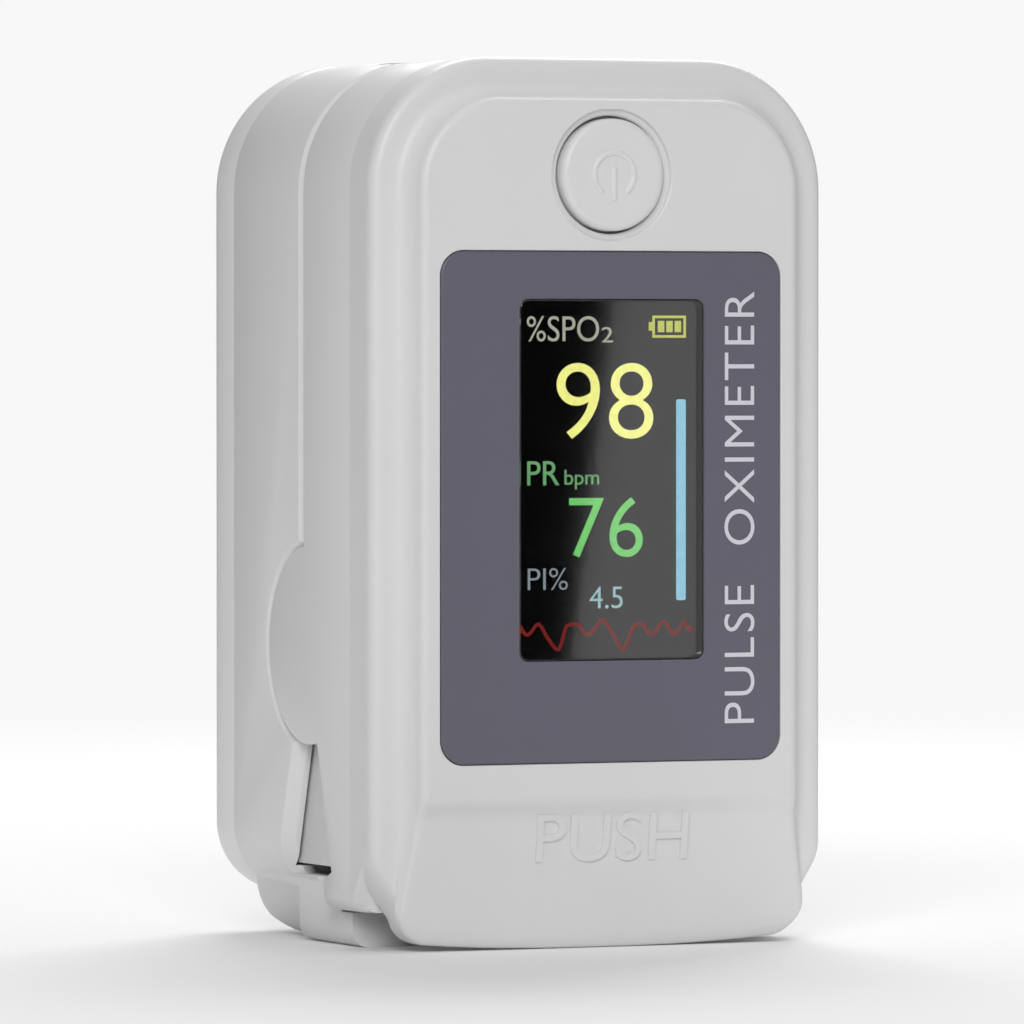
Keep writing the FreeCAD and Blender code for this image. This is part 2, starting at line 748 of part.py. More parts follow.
def power_button():
    """Round cap that stands a little proud, with a flange that keeps it behind the face."""
    body = new_body("power_button")
    rise = driving("button_rise")
    front = face - driving("button_proud")
    rod(body, "cap", (0, front, rise), driving("button_radius"), flange_rear() - front, Y_AXIS_DOWN_Z)
    soften(body, "cap_edge", "Fillet", driving("button_fillet"), at_depth(front))
    rod(body, "flange", (0, front_inside + 0.05, rise), driving("button_radius") + driving("flange_width"),
        driving("flange_thickness"), Y_AXIS_DOWN_Z)
    return body


def finger_pad(label, floor_y, rim_y, radius, centre, upper):
    """Silicone block with a round channel, closed by a wall at the fingertip's end."""
    body = new_body(label)
    low_y, high_y = (floor_y, rim_y) if upper else (rim_y, floor_y)
    block(body, "block", (-pad_half, low_y, driving("pad_foot")), (pad_half, high_y, pad_top))
    rod(body, "channel", (0, centre, driving("pad_foot") + driving("pad_end_wall")), radius,
        driving("overall_length"), Z_AXIS, cut=True)
    for side in BOTH_SIDES:
        name = "left" if side < 0 else "right"
        low, high = span(side, mouth_half - driving("mouth_gap"), pad_half + 1)
        block(body, f"shoulder_{name}", (low, low_y - 1, shoulder_top()), (high, high_y + 1, top + 1),
              cut=True)
    half = driving("sensor_width") / 2
    reach = driving("sensor_length") / 2
    rise = driving("sensor_rise")
    block(body, "sensor_window", (-half, low_y - 1, rise - reach), (half, high_y + 1, rise + reach),
          cut=True)
    return body


def upper_finger_pad():
    return finger_pad("upper_finger_pad", upper_floor_rear, seam, upper_channel_radius(),
                      upper_channel_centre(), True)


def lower_finger_pad():
    """Lower pad, relieved behind for the ribbon and the emitter's board."""
    body = finger_pad("lower_finger_pad", lower_floor_front, seam + driving("seam_gap") * 2,
                      channel_radius(lower_channel_depth()), lower_channel_centre(), False)
    half = driving("ribbon_width") / 2 + 0.3
    block(body, "ribbon_groove", (-half, ribbon_rear_y() - driving("ribbon_thickness"),
          driving("pad_foot") - 1), (half, lower_floor_front + 1, driving("sensor_rise")), cut=True)
    board_half = driving("sensor_width") / 2 + driving("sensor_board_margin") + 0.1
    reach = driving("sensor_length") / 2 + driving("sensor_board_margin") + 0.1
    rise = driving("sensor_rise")
    block(body, "board_recess", (-board_half, emitter_board_front() - 0.05, rise - reach),
          (board_half, lower_floor_front + 1, rise + reach), cut=True)
    return body


def sensor_plate(body, front, rear):
    half = driving("sensor_width") / 2 + driving("sensor_board_margin")
    reach = driving("sensor_length") / 2 + driving("sensor_board_margin")
    rise = driving("sensor_rise")
    block(body, "plate", (-half, front, rise - reach), (half, rear, rise + reach))


def sensor_lens(label, front, rear):
    """Clear window that fills the hole in a pad."""
    body = new_body(label)
    half = driving("sensor_width") / 2 - 0.05
    reach = driving("sensor_length") / 2 - 0.05
    rise = driving("sensor_rise")
    block(body, "lens", (-half, front, rise - reach), (half, rear, rise + reach))
    return body


def receiver_board():
    """Light sensor's board in the upper floor, with two pins to the main board."""
    body = new_body("receiver_board")
    sensor_plate(body, upper_floor_front + 0.2, upper_floor_rear)
    for side in BOTH_SIDES:
        name = "left" if side < 0 else "right"
        rod(body, f"pin_{name}", (as_size(3 * side), board_rear, driving("sensor_rise")), 0.3,
            upper_floor_front + 0.4 - board_rear, Y_AXIS_DOWN_Z)
    return body


def receiver_window():
    return sensor_lens("receiver_window", upper_floor_rear, upper_floor_rear + driving("pad_base") - 0.1)


def emitter_board_front():
    return lower_floor_front - 0.1


def emitter_board():
    """Board of the red and infrared light source, set into the lower floor."""
    body = new_body("emitter_board")
    front = emitter_board_front()
    sensor_plate(body, front, front + driving("sensor_board_thickness"))
    return body


def emitter_window():
    front = lower_floor_front - driving("pad_base") + 0.1
    return sensor_lens("emitter_window", front, emitter_board_front())


# Battery half.
def lower_housing():
    """Middle shell: outer walls, hinge lugs, the floor between finger and batteries, and the foot."""
    body = new_body("lower_housing")
    seam_front = seam + driving("seam_gap")
    gap_rear = face + driving("gap_rear_top")
    gap_foot = face + driving("gap_rear_foot")
    rear_radius = driving("rear_tail_radius")
    prism(body, "shell", "XZ_Plane", shell_outline(half_width, rear_tail, top, driving("top_radius"),
          rear_radius), seam_front, back_parting)
    foot_half = web_outer
    foot_end = back_parting - driving("foot_rear_setback")
    prism(body, "foot_rear", "XZ_Plane", shell_outline(foot_half, zero, rear_tail + rear_radius, 0,
          driving("foot_rear_radius")), gap_foot, foot_end)
    prism(body, "foot_front", "XZ_Plane", shell_outline(foot_half, zero, driving("foot_rise"), 0,
          driving("foot_front_radius")), face + driving("foot_front"), gap_foot)
    prism(body, "tab", "XZ_Plane", shell_outline(foot_half, driving("foot_rise") - 0.2,
          driving("tab_rise"), 0, 0), face + driving("foot_step"), gap_foot)
    slope = driving("foot_slope")
    prism(body, "foot_ramp", "YZ_Plane", [
        (foot_end - slope, zero - 1, 0), (foot_end + 1, zero - 1, 0), (foot_end + 1, slope + 1, 0),
        (foot_end - slope, zero, 0)], -half_width, half_width, cut=True)
    inner = shell_outline(inner_half, rear_tail + wall, inner_top, driving("top_radius") - wall,
                          rear_radius - wall)
    prism(body, "jaw_hollow", "XZ_Plane", inner, seam_front - 1, lower_floor_front, cut=True)
    prism(body, "bay_hollow", "XZ_Plane", inner, lower_floor_rear, back_parting + 1, cut=True)
    block(body, "foot_hollow", (-foot_half + wall, face + driving("foot_front") + wall, wall),
          (foot_half - wall, lower_floor_front, rear_tail + rear_radius), cut=True)
    gap_top = driving("gap_top")
    prism(body, "tail_gap", "YZ_Plane", [
        (seam_front - 1, driving("tab_rise"), 0), (gap_foot, driving("tab_rise"), 0),
        (gap_rear, gap_top, 0), (seam_front - 1, gap_top, 0)], -half_width - 1, half_width + 1, cut=True)
    soften(body, "gap_edge", "Chamfer", driving("gap_chamfer"), lambda box:
           min(abs(box.XMin), abs(box.XMax)) > inner_half.value + 0.03 and box.YLength > 0.3
           and box.ZLength > 1 and box.ZMin > driving("tab_rise").value - 0.01
           and box.ZMax < gap_top.value + 0.01)
    soften(body, "seam_edge", "Chamfer", driving("seam_chamfer"), lambda box:
           at_depth(seam_front)(box) and box.ZMax > top.value - 0.5)
    for side in BOTH_SIDES:
        name = "left" if side < 0 else "right"
        low, high = span(side, inner_half - 0.1, half_width + 1)
        rod(body, f"ear_recess_{name}", (low, pivot_y, pivot_z), ear_radius + driving("ear_gap"),
            high - low, X_AXIS, cut=True)
        low, high = span(side, lug_inner, lug_outer)
        rod(body, f"lug_{name}", (low, pivot_y, pivot_z), driving("lug_radius"), high - low, X_AXIS)
        block(body, f"lug_arm_{name}", (low, pivot_y, pivot_z - driving("lug_radius")),
              (high, lower_floor_front + 0.2, pivot_z + driving("lug_radius")))
        low, high = span(side, lug_inner - 1, lug_outer + 0.1)
        rod(body, f"lug_bore_{name}", (low, pivot_y, pivot_z), driving("pin_radius"), high - low, X_AXIS,
            cut=True)
        low, high = span(side, web_inner - side_gap, inner_half)
        block(body, f"web_room_{name}", (low, seam_front - 1, web_low - side_gap),
              (high, lower_floor_rear + driving("web_reach"), web_low + driving("web_room")), cut=True)
    mouth_cut(body, seam_front - 1, lower_floor_front)
    soften(body, "ear_edge", "Chamfer", driving("ear_chamfer"), lambda box:
           box.XLength < 0.01 and abs(abs(box.XMin) - half_width.value) < 0.01 and box.ZLength > 3
           and box.YLength > 3 and box.ZMax < (pivot_z + ear_radius).value + 1)
    sensor_hole(body, lower_floor_front - 0.5, lower_floor_rear + 0.5)
    block(body, "lead_groove", (-1.2, lower_floor_rear - 0.4, rear_tail + wall),
          (as_size(1.2), lower_floor_rear + 0.5, driving("sensor_rise")), cut=True)
    for number, (x, z) in enumerate(back_screw_places()):
        rod(body, f"screw_hole_{number}", (x, lower_floor_front - 0.5, z), driving("screw_radius"),
            floor_thickness + 1, Y_AXIS_DOWN_Z, cut=True)
        rod(body, f"screw_seat_{number}", (x, lower_floor_front - 0.5, z),
            driving("screw_head_radius") + 0.1, floor_thickness, Y_AXIS_DOWN_Z, cut=True)
    return body


def back_screw_places():
    """Screws from the jaw's side into the back shell's bosses, above the hinge."""
    low = pivot_z + ear_radius + 4
    high = top - driving("top_radius") - 2
    return [(boss_x * side, z) for z in (low, high) for side in BOTH_SIDES]


def back_screws():
    return screw_set("back_screws", back_screw_places(), lower_floor_front + floor_thickness / 2, 1)


def back_outline():
    return shell_outline(half_width, rear_tail, top, driving("top_radius"), driving("rear_tail_radius"))


def back_shell():
    """Rear shell around the batteries, with rails for the sliding cover."""
    body = new_body("back_shell")
    prism(body, "shell", "XZ_Plane", back_outline(), back_parting, back)
    soften(body, "back_edges", "Fillet", driving("back_fillet"), at_depth(back))
    ledge_front = back - driving("door_thickness") - driving("ledge_thickness") - 0.05
    inner = shell_outline(inner_half, rear_tail + wall, inner_top, driving("top_radius") - wall,
                          driving("rear_tail_radius") - wall)
    prism(body, "hollow", "XZ_Plane", inner, back_parting - 1, ledge_front, cut=True)
    for number, (x, z) in enumerate(back_screw_places()):
        start = lower_floor_rear + 0.05
        rod(body, f"boss_{number}", (x, start, z), driving("boss_radius"), ledge_front + 0.2 - start,
            Y_AXIS_DOWN_Z)
        rod(body, f"pilot_{number}", (x, start - 0.1, z), driving("screw_radius"), driving("screw_length"),
            Y_AXIS_DOWN_Z, cut=True)
    gap = driving("door_gap")
    half = driving("door_width") / 2 + gap
    low = driving("door_rise") - gap
    seat = back - driving("door_thickness") - 0.05
    block(body, "door_channel", (-half, seat, low), (half, back + 1, top + 1), cut=True)
    rail = half + driving("tongue_width")
    block(body, "rail_groove", (-rail, seat, low), (rail, seat + driving("tongue_thickness") + gap + 0.05,
          top + 1), cut=True)
    bay = cell_x + driving("cell_radius") + driving("door_opening_margin")
    block(body, "bay_opening", (-bay, ledge_front - 1, tray_low + 2), (bay, back, tray_high - 1), cut=True)
    return body


def battery_cover():
    """Sliding cover, with tongues in the rails and grip grooves; it slides towards the finger end."""
    body = new_body("battery_cover")
    seat = back - driving("door_thickness")
    prism(body, "plate", "XZ_Plane", back_outline(), back_parting, back)
    soften(body, "back_edges", "Fillet", driving("back_fillet"), at_depth(back))
    half = driving("door_width") / 2
    tongue = half + driving("tongue_width")
    tongue_rear = seat + driving("tongue_thickness")
    low = driving("door_rise")
    block(body, "front_cut", (-half_width - 1, back_parting - 1, zero), (half_width + 1, seat, top + 1),
          cut=True)
    block(body, "end_cut", (-half_width - 1, back_parting, zero), (half_width + 1, back + 1, low), cut=True)
    for side in BOTH_SIDES:
        name = "left" if side < 0 else "right"
        inner, outer = span(side, tongue, half_width + 1)
        block(body, f"side_cut_{name}", (inner, seat - 1, zero), (outer, back + 1, top + 1), cut=True)
        inner, outer = span(side, half, half_width + 1)
        block(body, f"rebate_{name}", (inner, tongue_rear, zero), (outer, back + 1, top + 1), cut=True)
    for number in range(5):
        rise = low + 5 + 1.6 * number
        block(body, f"grip_{number}", (as_size(-5), back - 0.3, rise), (as_size(5), back + 1, rise + 0.8),
              cut=True)
    return body


def battery_tray():
    """Frame around both batteries that carries their contacts."""
    body = new_body("battery_tray")
    rear = lower_floor_rear + driving("tray_depth")
    block(body, "frame", (-tray_half, lower_floor_rear, tray_low), (tray_half, rear, tray_high))
    half = tray_half - driving("tray_wall")
    block(body, "bay", (-half, lower_floor_rear - 1, contact_low), (half, rear + 1, contact_high), cut=True)
    return body


def cell(label, side, flipped):
    """Cylindrical battery; its nub points at the end that has the flat contact."""
    body = new_body(label)
    can = driving("cell_length") - driving("nub_length")
    low = cells_low if flipped else cells_low + driving("spring_length")
    can_start = low + driving("nub_length") if flipped else low
    nub_start = low if flipped else low + can
    x = cell_x * side
    rod(body, "can", (x, cell_y, can_start), driving("cell_radius"), can, Z_AXIS)
    soften(body, "can_edges", "Fillet", 0.4, lambda box: box.ZLength < 0.01)
    rod(body, "nub", (x, cell_y, nub_start), driving("nub_radius"), driving("nub_length"), Z_AXIS)
    return body


def contact_plates():
    """Nickel plates in the tray: one bridges both cells at the top, two stand apart at the bottom."""
    body = new_body("contact_plates")
    half = cell_x + driving("cell_radius") * 0.7
    low_y = cell_y - driving("cell_radius") * 0.6
    high_y = cell_y + driving("cell_radius") * 0.2
    block(body, "bridge", (-half, low_y, cells_high), (half, high_y, contact_high))
    for side in BOTH_SIDES:
        name = "left" if side < 0 else "right"
        low, high = span(side, 1, half)
        block(body, f"plate_{name}", (low, low_y, contact_low), (high, high_y, cells_low))
    return body


def coil(label, x, y, z, radius, wire, turns, height, rotation):
    """A coil of round wire, swept along a helix."""
    helix = document.addObject("Part::Helix", f"{label}_helix")
    bind(helix, "Radius", radius)
    bind(helix, "Height", height)
    bind(helix, "Pitch", Size(height.value / turns, f"({height.text} / {turns})"))
    ring = document.addObject("Part::Circle", f"{label}_ring")
    bind(ring, "Radius", wire)
    ring.Placement = FreeCAD.Placement(Vector(radius.value, 0, 0), FreeCAD.Rotation(Vector(1, 0, 0), 90))
    bind(ring, "Placement.Base.x", radius)
    sweep = document.addObject("Part::Sweep", label)
    sweep.Sections = [ring]
    sweep.Spine = (helix, [])
    sweep.Solid = True
    sweep.Frenet = True
    place(sweep, (x, y, z), rotation)
    return sweep


def contact_springs():
    """One coil at each cell's negative end."""
    wire = driving("coil_wire_radius")
    height = driving("spring_length") - wire * 2
    turns = driving("coil_turns").value
    lefts = coil("contact_spring_left", -cell_x, cell_y, cells_low + wire, driving("coil_radius"), wire,
                 turns, height, Z_AXIS)
    rights = coil("contact_spring_right", cell_x, cell_y, cells_high - wire - height, driving("coil_radius"),
                  wire, turns, height, Z_AXIS)
    both = document.addObject("Part::Compound", "contact_springs")
    both.Links = [lefts, rights]
    return both


def hinge_pin():
    """Steel pin through both lugs and into both ears."""
    body = new_body("hinge_pin")
    rod(body, "pin", (-pin_end, pivot_y, pivot_z), driving("pin_radius"), pin_end * 2, X_AXIS)
    return body


def torsion_spring(label, side):
    """Coil round the pin with one leg on each floor, which presses the finger ends together.

    It is wound about Z with its ends on the +X side, then turned so that Z lies along the pin and
    +X points down; each leg then leaves the coil towards its floor.
    """
    wire = driving("spring_wire_radius").value
    radius = driving("pin_radius").value + wire + 0.6
    pitch = wire * 2.2
    height = pitch * driving("spring_turns").value
    ring = Part.Wire(Part.Circle(Vector(radius, 0, 0), Vector(0, 1, 0), wire).toShape())
    shape = Part.makeHelix(pitch, height, radius).makePipeShell([ring], True, True)
    drop = driving("pivot_rise").value - driving("spring_leg_rise").value
    rest = wire + 0.1
    front_reach = upper_floor_rear.value + rest - pivot_y.value
    rear_reach = lower_floor_front.value - rest - pivot_y.value
    for along, reach in ((0, front_reach), (height, rear_reach)):
        start = Vector(radius, 0, along)
        leg = Vector(drop, reach, along) - start
        shape = shape.fuse([Part.makeCylinder(wire * 0.98, leg.Length, start, leg),
                            Part.makeSphere(wire * 1.03, start)])
    spring = document.addObject("Part::Feature", label)
    spring.Shape = shape
    outer = lug_inner.value - 0.4 - wire
    left = outer - height if side > 0 else -outer
    spring.Placement = FreeCAD.Placement(Vector(left, pivot_y.value, pivot_z.value), X_AXIS)
    return spring


def ribbon_rear_y():
    return emitter_board_front()


def ribbon_lead():
    """Flat lead from the emitter's board, down round the hinge and up to the main board's socket."""
    body = new_body("ribbon_lead")
    thickness = driving("ribbon_thickness")
    radius = driving("ribbon_radius")
    rear_y = ribbon_rear_y()
    front_y = upper_floor_rear + 0.3
    low = driving("ribbon_low")
    slot = driving("ribbon_slot_rise")
    end_y = board_rear + driving("chip_height") * 0.6
    start_z = driving("sensor_rise") - driving("sensor_length") / 2 - 0.2
    inner = radius - thickness / 2
    outer = radius + thickness / 2
    half = thickness / 2
    corners = [
        (rear_y, start_z, 0), (rear_y - thickness, start_z, 0), (rear_y - thickness, low + thickness, inner),
        (front_y + thickness, low + thickness, inner), (front_y + thickness, slot + half, outer),
        (end_y, slot + half, 0), (end_y, slot - half, 0), (front_y, slot - half, inner),
        (front_y, low, outer), (rear_y, low, outer)]
    width = driving("ribbon_width") / 2
    prism(body, "strip", "YZ_Plane", corners, -width, width)
    return body


def battery_leads():
    """Two wires from the tray's contacts up to the emitter's board."""
    body = new_body("battery_leads")
    radius = driving("lead_radius")
    y = emitter_board_front() + driving("sensor_board_thickness") + radius
    high = driving("sensor_rise") - driving("sensor_length") / 2
    for side in BOTH_SIDES:
        name = "left" if side < 0 else "right"
        rod(body, f"wire_{name}", (as_size(0.6 * side), y, contact_low), radius, high - contact_low, Z_AXIS)
    return body


# Build, check and write.
pieces = [
    front_cover(), upper_housing(), face_panel(), display_window(), display_module(), display_frame(),
    main_board(), board_components(), board_screws(), case_screws(), tact_switch(), switch_plunger(),
    power_button(), upper_finger_pad(), receiver_board(), receiver_window(), lower_housing(),
    lower_finger_pad(), emitter_board(), emitter_window(), back_shell(), battery_cover(), battery_tray(),
    cell("battery_left", -1, False), cell("battery_right", 1, True), contact_plates(), contact_springs(),
    hinge_pin(), torsion_spring("torsion_spring_left", -1), torsion_spring("torsion_spring_right", 1),
    back_screws(), ribbon_lead(), battery_leads()]
document.recompute()

for item in document.Objects:
    if "Invalid" in item.State or "Error" in item.State:
        raise RuntimeError(f"{item.Name} failed: {item.State}")
    if item.Name.startswith("Params"):
        continue
    base = getattr(item, "BaseFeature", None)
    if base is not None and item.TypeId.startswith(("PartDesign::Pocket", "PartDesign::Subtractive")):
        if base.Shape.Volume - item.Shape.Volume < 1e-4:
            raise RuntimeError(f"{item.Label} cuts nothing")

os.makedirs("parts", exist_ok=True)
for piece in pieces:
    if piece.Shape.isNull() or not piece.Shape.isValid():
        raise RuntimeError(f"{piece.Label} has no valid shape")
    piece.Shape.exportStep(f"parts/{piece.Label}.step")
    box = piece.Shape.BoundBox
    print(f"{piece.Label:22s} {len(piece.Shape.Solids)} solid(s) {piece.Shape.Volume:9.1f} mm3  "
          f"X {box.XMin:6.2f} {box.XMax:6.2f}  Y {box.YMin:6.2f} {box.YMax:6.2f}  "
          f"Z {box.ZMin:6.2f} {box.ZMax:6.2f}")
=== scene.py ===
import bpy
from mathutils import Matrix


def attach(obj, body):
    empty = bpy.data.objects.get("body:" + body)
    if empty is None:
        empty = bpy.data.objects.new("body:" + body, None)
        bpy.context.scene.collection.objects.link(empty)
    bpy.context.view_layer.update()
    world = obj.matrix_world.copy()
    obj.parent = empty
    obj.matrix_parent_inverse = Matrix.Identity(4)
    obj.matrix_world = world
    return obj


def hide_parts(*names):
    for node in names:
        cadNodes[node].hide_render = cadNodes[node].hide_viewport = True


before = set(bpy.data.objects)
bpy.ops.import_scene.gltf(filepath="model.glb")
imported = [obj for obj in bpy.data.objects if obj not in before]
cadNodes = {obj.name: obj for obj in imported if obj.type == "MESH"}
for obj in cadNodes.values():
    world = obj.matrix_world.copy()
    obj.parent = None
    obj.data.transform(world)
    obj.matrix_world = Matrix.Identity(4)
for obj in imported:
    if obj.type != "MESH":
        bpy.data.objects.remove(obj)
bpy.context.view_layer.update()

import math

import bmesh
import bpy
import numpy as np
from mathutils import Vector
from mathutils.geometry import delaunay_2d_cdt

mm = 0.001  # every size below is in millimetres; meshes are written in metres
print("frame loaded:", len(cadNodes), "nodes")

# planes and sizes that several pieces share
facePlane = -15.3
bandPlane = -13.3
partingPlane = -9.6
halfWidth = 17.1
topEdge = 61.0
buttonRise = 52.95
bothSides = (-1, 1)


# meshes from numpy arrays
def smoothStep(low, high, value):
    # 3t^2 - 2t^3 with t running from 0 at low to 1 at high
    t = np.clip((value - low) / (high - low), 0, 1)
    return t * t * (3 - 2 * t)


def roundedOutline(half, low, high, highRadius, lowRadius, straight=24, side=100, corner=24, centre=0.0):
    # rounded rectangle in x and z, from the bottom's left end anticlockwise; straights are (1-t)a + tb and
    # corners are centre + radius (cos, sin); side points crowd towards the foot as t^1.35
    crowding = 1.35

    def line(start, end, count, power=1.0):
        t = (np.arange(count) / count) ** power
        return np.outer(1 - t, start) + np.outer(t, end)

    def arc(x, z, radius, first):
        angle = math.radians(first) + np.arange(corner) / corner * math.pi / 2
        return np.column_stack([x + radius * np.cos(angle), z + radius * np.sin(angle)])

    left, right = centre - half, centre + half
    crowded = (1 - np.arange(side) / side) ** crowding
    rise = high - highRadius - low - lowRadius
    downLeft = np.column_stack([np.full(side, left), low + lowRadius + rise * crowded])
    return np.vstack([
        line((left + lowRadius, low), (right - lowRadius, low), straight),
        arc(right - lowRadius, low + lowRadius, lowRadius, -90),
        line((right, low + lowRadius), (right, high - highRadius), side, crowding),
        arc(right - highRadius, high - highRadius, highRadius, 0),
        line((right - highRadius, high), (left + highRadius, high), straight),
        arc(left + highRadius, high - highRadius, highRadius, 90),
        downLeft,
        arc(left + lowRadius, low + lowRadius, lowRadius, 180)])


def ring(outline, depth):
    # an outline in x and z lifted to a depth in y, which may differ from point to point
    return np.column_stack([outline[:, 0], np.broadcast_to(depth, len(outline)), outline[:, 1]])


class Patchwork:
    # gathers grids and flat faces, then welds them into one mesh
    def __init__(self):
        self.points, self.faces, self.count = [], [], 0

    def add(self, points, faces):
        self.points.append(np.asarray(points, float).reshape(-1, 3))
        self.faces += [[int(i) + self.count for i in face] for face in faces]
        self.count += len(self.points[-1])

    def grid(self, rows, closed=True):
        # quads between neighbouring rows of one length; closed joins each row's end to its start
        rows = np.asarray(rows, float)
        rowCount, length = rows.shape[:2]
        i, j = np.meshgrid(np.arange(rowCount - 1), np.arange(length if closed else length - 1), indexing="ij")
        i, j = i.ravel(), j.ravel()
        k = (j + 1) % length
        near, far = i * length, (i + 1) * length
        self.add(rows, np.column_stack([near + j, near + k, far + k, far + j]))

    def cap(self, row):
        # closes a row with triangles to its middle
        row = np.asarray(row, float)
        n = len(row)
        self.add(np.vstack([row, row.mean(0)]), [[j, (j + 1) % n, n] for j in range(n)])

    def flat(self, outer, holes, depth, extra=()):
        # the region inside one outline and outside others, split into triangles and lifted to y = depth(x, z)
        loops = [np.asarray(loop)[:, [0, 2]] for loop in [outer, *holes]]
        corners = np.vstack(loops + ([np.asarray(extra)] if len(extra) else []))
        edges, start = [], 0
        for loop in loops:
            n = len(loop)
            edges += [(start + i, start + (i + 1) % n) for i in range(n)]
            start += n
        out = delaunay_2d_cdt([Vector(p) for p in corners], edges, [], 0, 1e-5)
        flatPoints = np.array([tuple(p) for p in out[0]])
        triangles = np.array(out[2])
        middle = flatPoints[triangles].mean(1)
        keep = insideLoop(middle, loops[0])
        for loop in loops[1:]:
            keep &= ~insideLoop(middle, loop)
        lifted = np.column_stack([flatPoints[:, 0], depth(flatPoints[:, 0], flatPoints[:, 1]), flatPoints[:, 1]])
        self.add(lifted, triangles[keep])


def insideLoop(points, loop):
    # counts how many edges of the loop a ray along +x from each point crosses
    a, b = loop, np.roll(loop, -1, 0)
    x, z = points[:, 0, None], points[:, 1, None]
    spans = (a[None, :, 1] > z) != (b[None, :, 1] > z)
    with np.errstate(divide="ignore", invalid="ignore"):
        crossing = a[None, :, 0] + (z - a[None, :, 1]) / (b[None, :, 1] - a[None, :, 1]) * (b - a)[None, :, 0]
    return (spans & (x < crossing)).sum(1) % 2 == 1


def makePiece(name, work, material, body, node=None, sharp=35, weld=1e-4):
    # writes the patchwork as a mesh at the origin, welds seams, turns faces outwards and hands it to the frame
    mesh = bpy.data.meshes.new(name)
    mesh.from_pydata((np.vstack(work.points) * mm).tolist(), [], work.faces)
    shape = bmesh.new()
    shape.from_mesh(mesh)
    bmesh.ops.remove_doubles(shape, verts=shape.verts, dist=weld * mm * 10)
    bmesh.ops.dissolve_degenerate(shape, edges=shape.edges, dist=weld * mm)
    bmesh.ops.recalc_face_normals(shape, faces=shape.faces)
    shape.to_mesh(mesh)
    shape.free()
    mesh.polygons.foreach_set("use_smooth", np.ones(len(mesh.polygons), bool))
    mesh.set_sharp_from_angle(angle=math.radians(sharp))
    piece = bpy.data.objects.new(name, mesh)
    bpy.context.scene.collection.objects.link(piece)
    mesh.materials.append(material)
    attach(piece, body)
    if node:
        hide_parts(*([node] if isinstance(node, str) else node))
    return piece


def lathe(work, profile, centreX, centreZ, around=64):
    # turns (radius, depth) points about the y axis: x = cx + r cos a, z = cz + r sin a; r = 0 ends are closed
    angle = np.arange(around) / around * 2 * math.pi
    rows = [np.column_stack([centreX + r * np.cos(angle), np.full(around, y), centreZ + r * np.sin(angle)])
            for r, y in profile]
    work.grid(rows)


def bead(work, path, width, height, base, closed=False, sides=10):
    # carries a half ellipse (width/2 cos a, height sin a) along a path in x and z, standing off the plane y = base
    path = np.asarray(path, float)
    ahead = np.roll(path, -1, 0) - np.roll(path, 1, 0)
    if not closed:
        ahead[0], ahead[-1] = path[1] - path[0], path[-1] - path[-2]
    ahead /= np.linalg.norm(ahead, axis=1)[:, None]
    across = np.column_stack([-ahead[:, 1], ahead[:, 0]])
    angle = np.linspace(0, math.pi, sides)
    base = base(path[:, 0], path[:, 1]) if callable(base) else np.full(len(path), base)

    def section(i, scale, shift=0.0):
        spread = width / 2 * np.cos(angle) * scale
        flat = path[i] + across[i] * spread[:, None] + ahead[i] * shift
        rise = base[i] + 0.05 - (height * np.sin(angle) * scale + 0.05 * (scale > 0))
        rise = np.where(np.sin(angle) < 1e-6, base[i] + 0.05, rise)
        return np.column_stack([flat[:, 0], rise, flat[:, 1]])

    if closed:
        rows = [section(i, 1.0) for i in range(len(path))]
        rows.append(rows[0])
    else:
        turn = np.linspace(0, math.pi / 2, 5)
        start = [section(0, math.sin(a) + 1e-4, -width / 2 * math.cos(a)) for a in turn[:-1]]
        end = [section(-1, math.sin(a) + 1e-4, width / 2 * math.cos(a)) for a in turn[::-1][1:]]
        rows = start + [section(i, 1.0) for i in range(len(path))] + end
    work.grid(rows)


def letters(work, words, left, right, foot, top, front, back, turned=False, spacing=1.0, weight=0.0):
    # built-in typeface as a mesh, stretched to fill a box in x and z, standing between two depths;
    # turned lettering reads upwards
    curve = bpy.data.curves.new("words", "FONT")
    curve.body = words
    curve.space_character = spacing
    curve.offset = weight
    curve.extrude = 0.5
    curve.resolution_u = 6
    item = bpy.data.objects.new("words", curve)
    bpy.context.scene.collection.objects.link(item)
    bpy.context.view_layer.update()
    shape = bpy.data.meshes.new_from_object(item.evaluated_get(bpy.context.evaluated_depsgraph_get()))
    points = np.zeros(len(shape.vertices) * 3)
    shape.vertices.foreach_get("co", points)
    points = points.reshape(-1, 3)
    faces = [list(face.vertices) for face in shape.polygons]
    bpy.data.objects.remove(item)
    bpy.data.curves.remove(curve)
    bpy.data.meshes.remove(shape)
    across, up = points[:, 0], points[:, 1]
    if turned:
        across, up = -up, across
    x = left + (across - across.min()) / np.ptp(across) * (right - left)
    z = foot + (up - up.min()) / np.ptp(up) * (top - foot)
    frontDepth = front(x, z) if callable(front) else front
    backDepth = back(x, z) if callable(back) else back
    work.add(np.column_stack([x, np.where(points[:, 2] > 0, frontDepth, backDepth), z]), faces)


# materials
def paint(hexCode):
    # sRGB hex to linear: c / 12.92 below 0.04045, else ((c + 0.055) / 1.055)^2.4
    values = [int(hexCode[i:i + 2], 16) / 255 for i in (1, 3, 5)]
    return tuple(c / 12.92 if c <= 0.04045 else ((c + 0.055) / 1.055) ** 2.4 for c in values) + (1.0,)


def addNode(material, kind, settings=None, links=None):
    node = material.node_tree.nodes.new(kind)
    for name, value in (settings or {}).items():
        if isinstance(name, int) or name in node.inputs:
            node.inputs[name].default_value = value
        else:
            setattr(node, name, value)
    for name, source in (links or {}).items():
        material.node_tree.links.new(source, node.inputs[name])
    return node


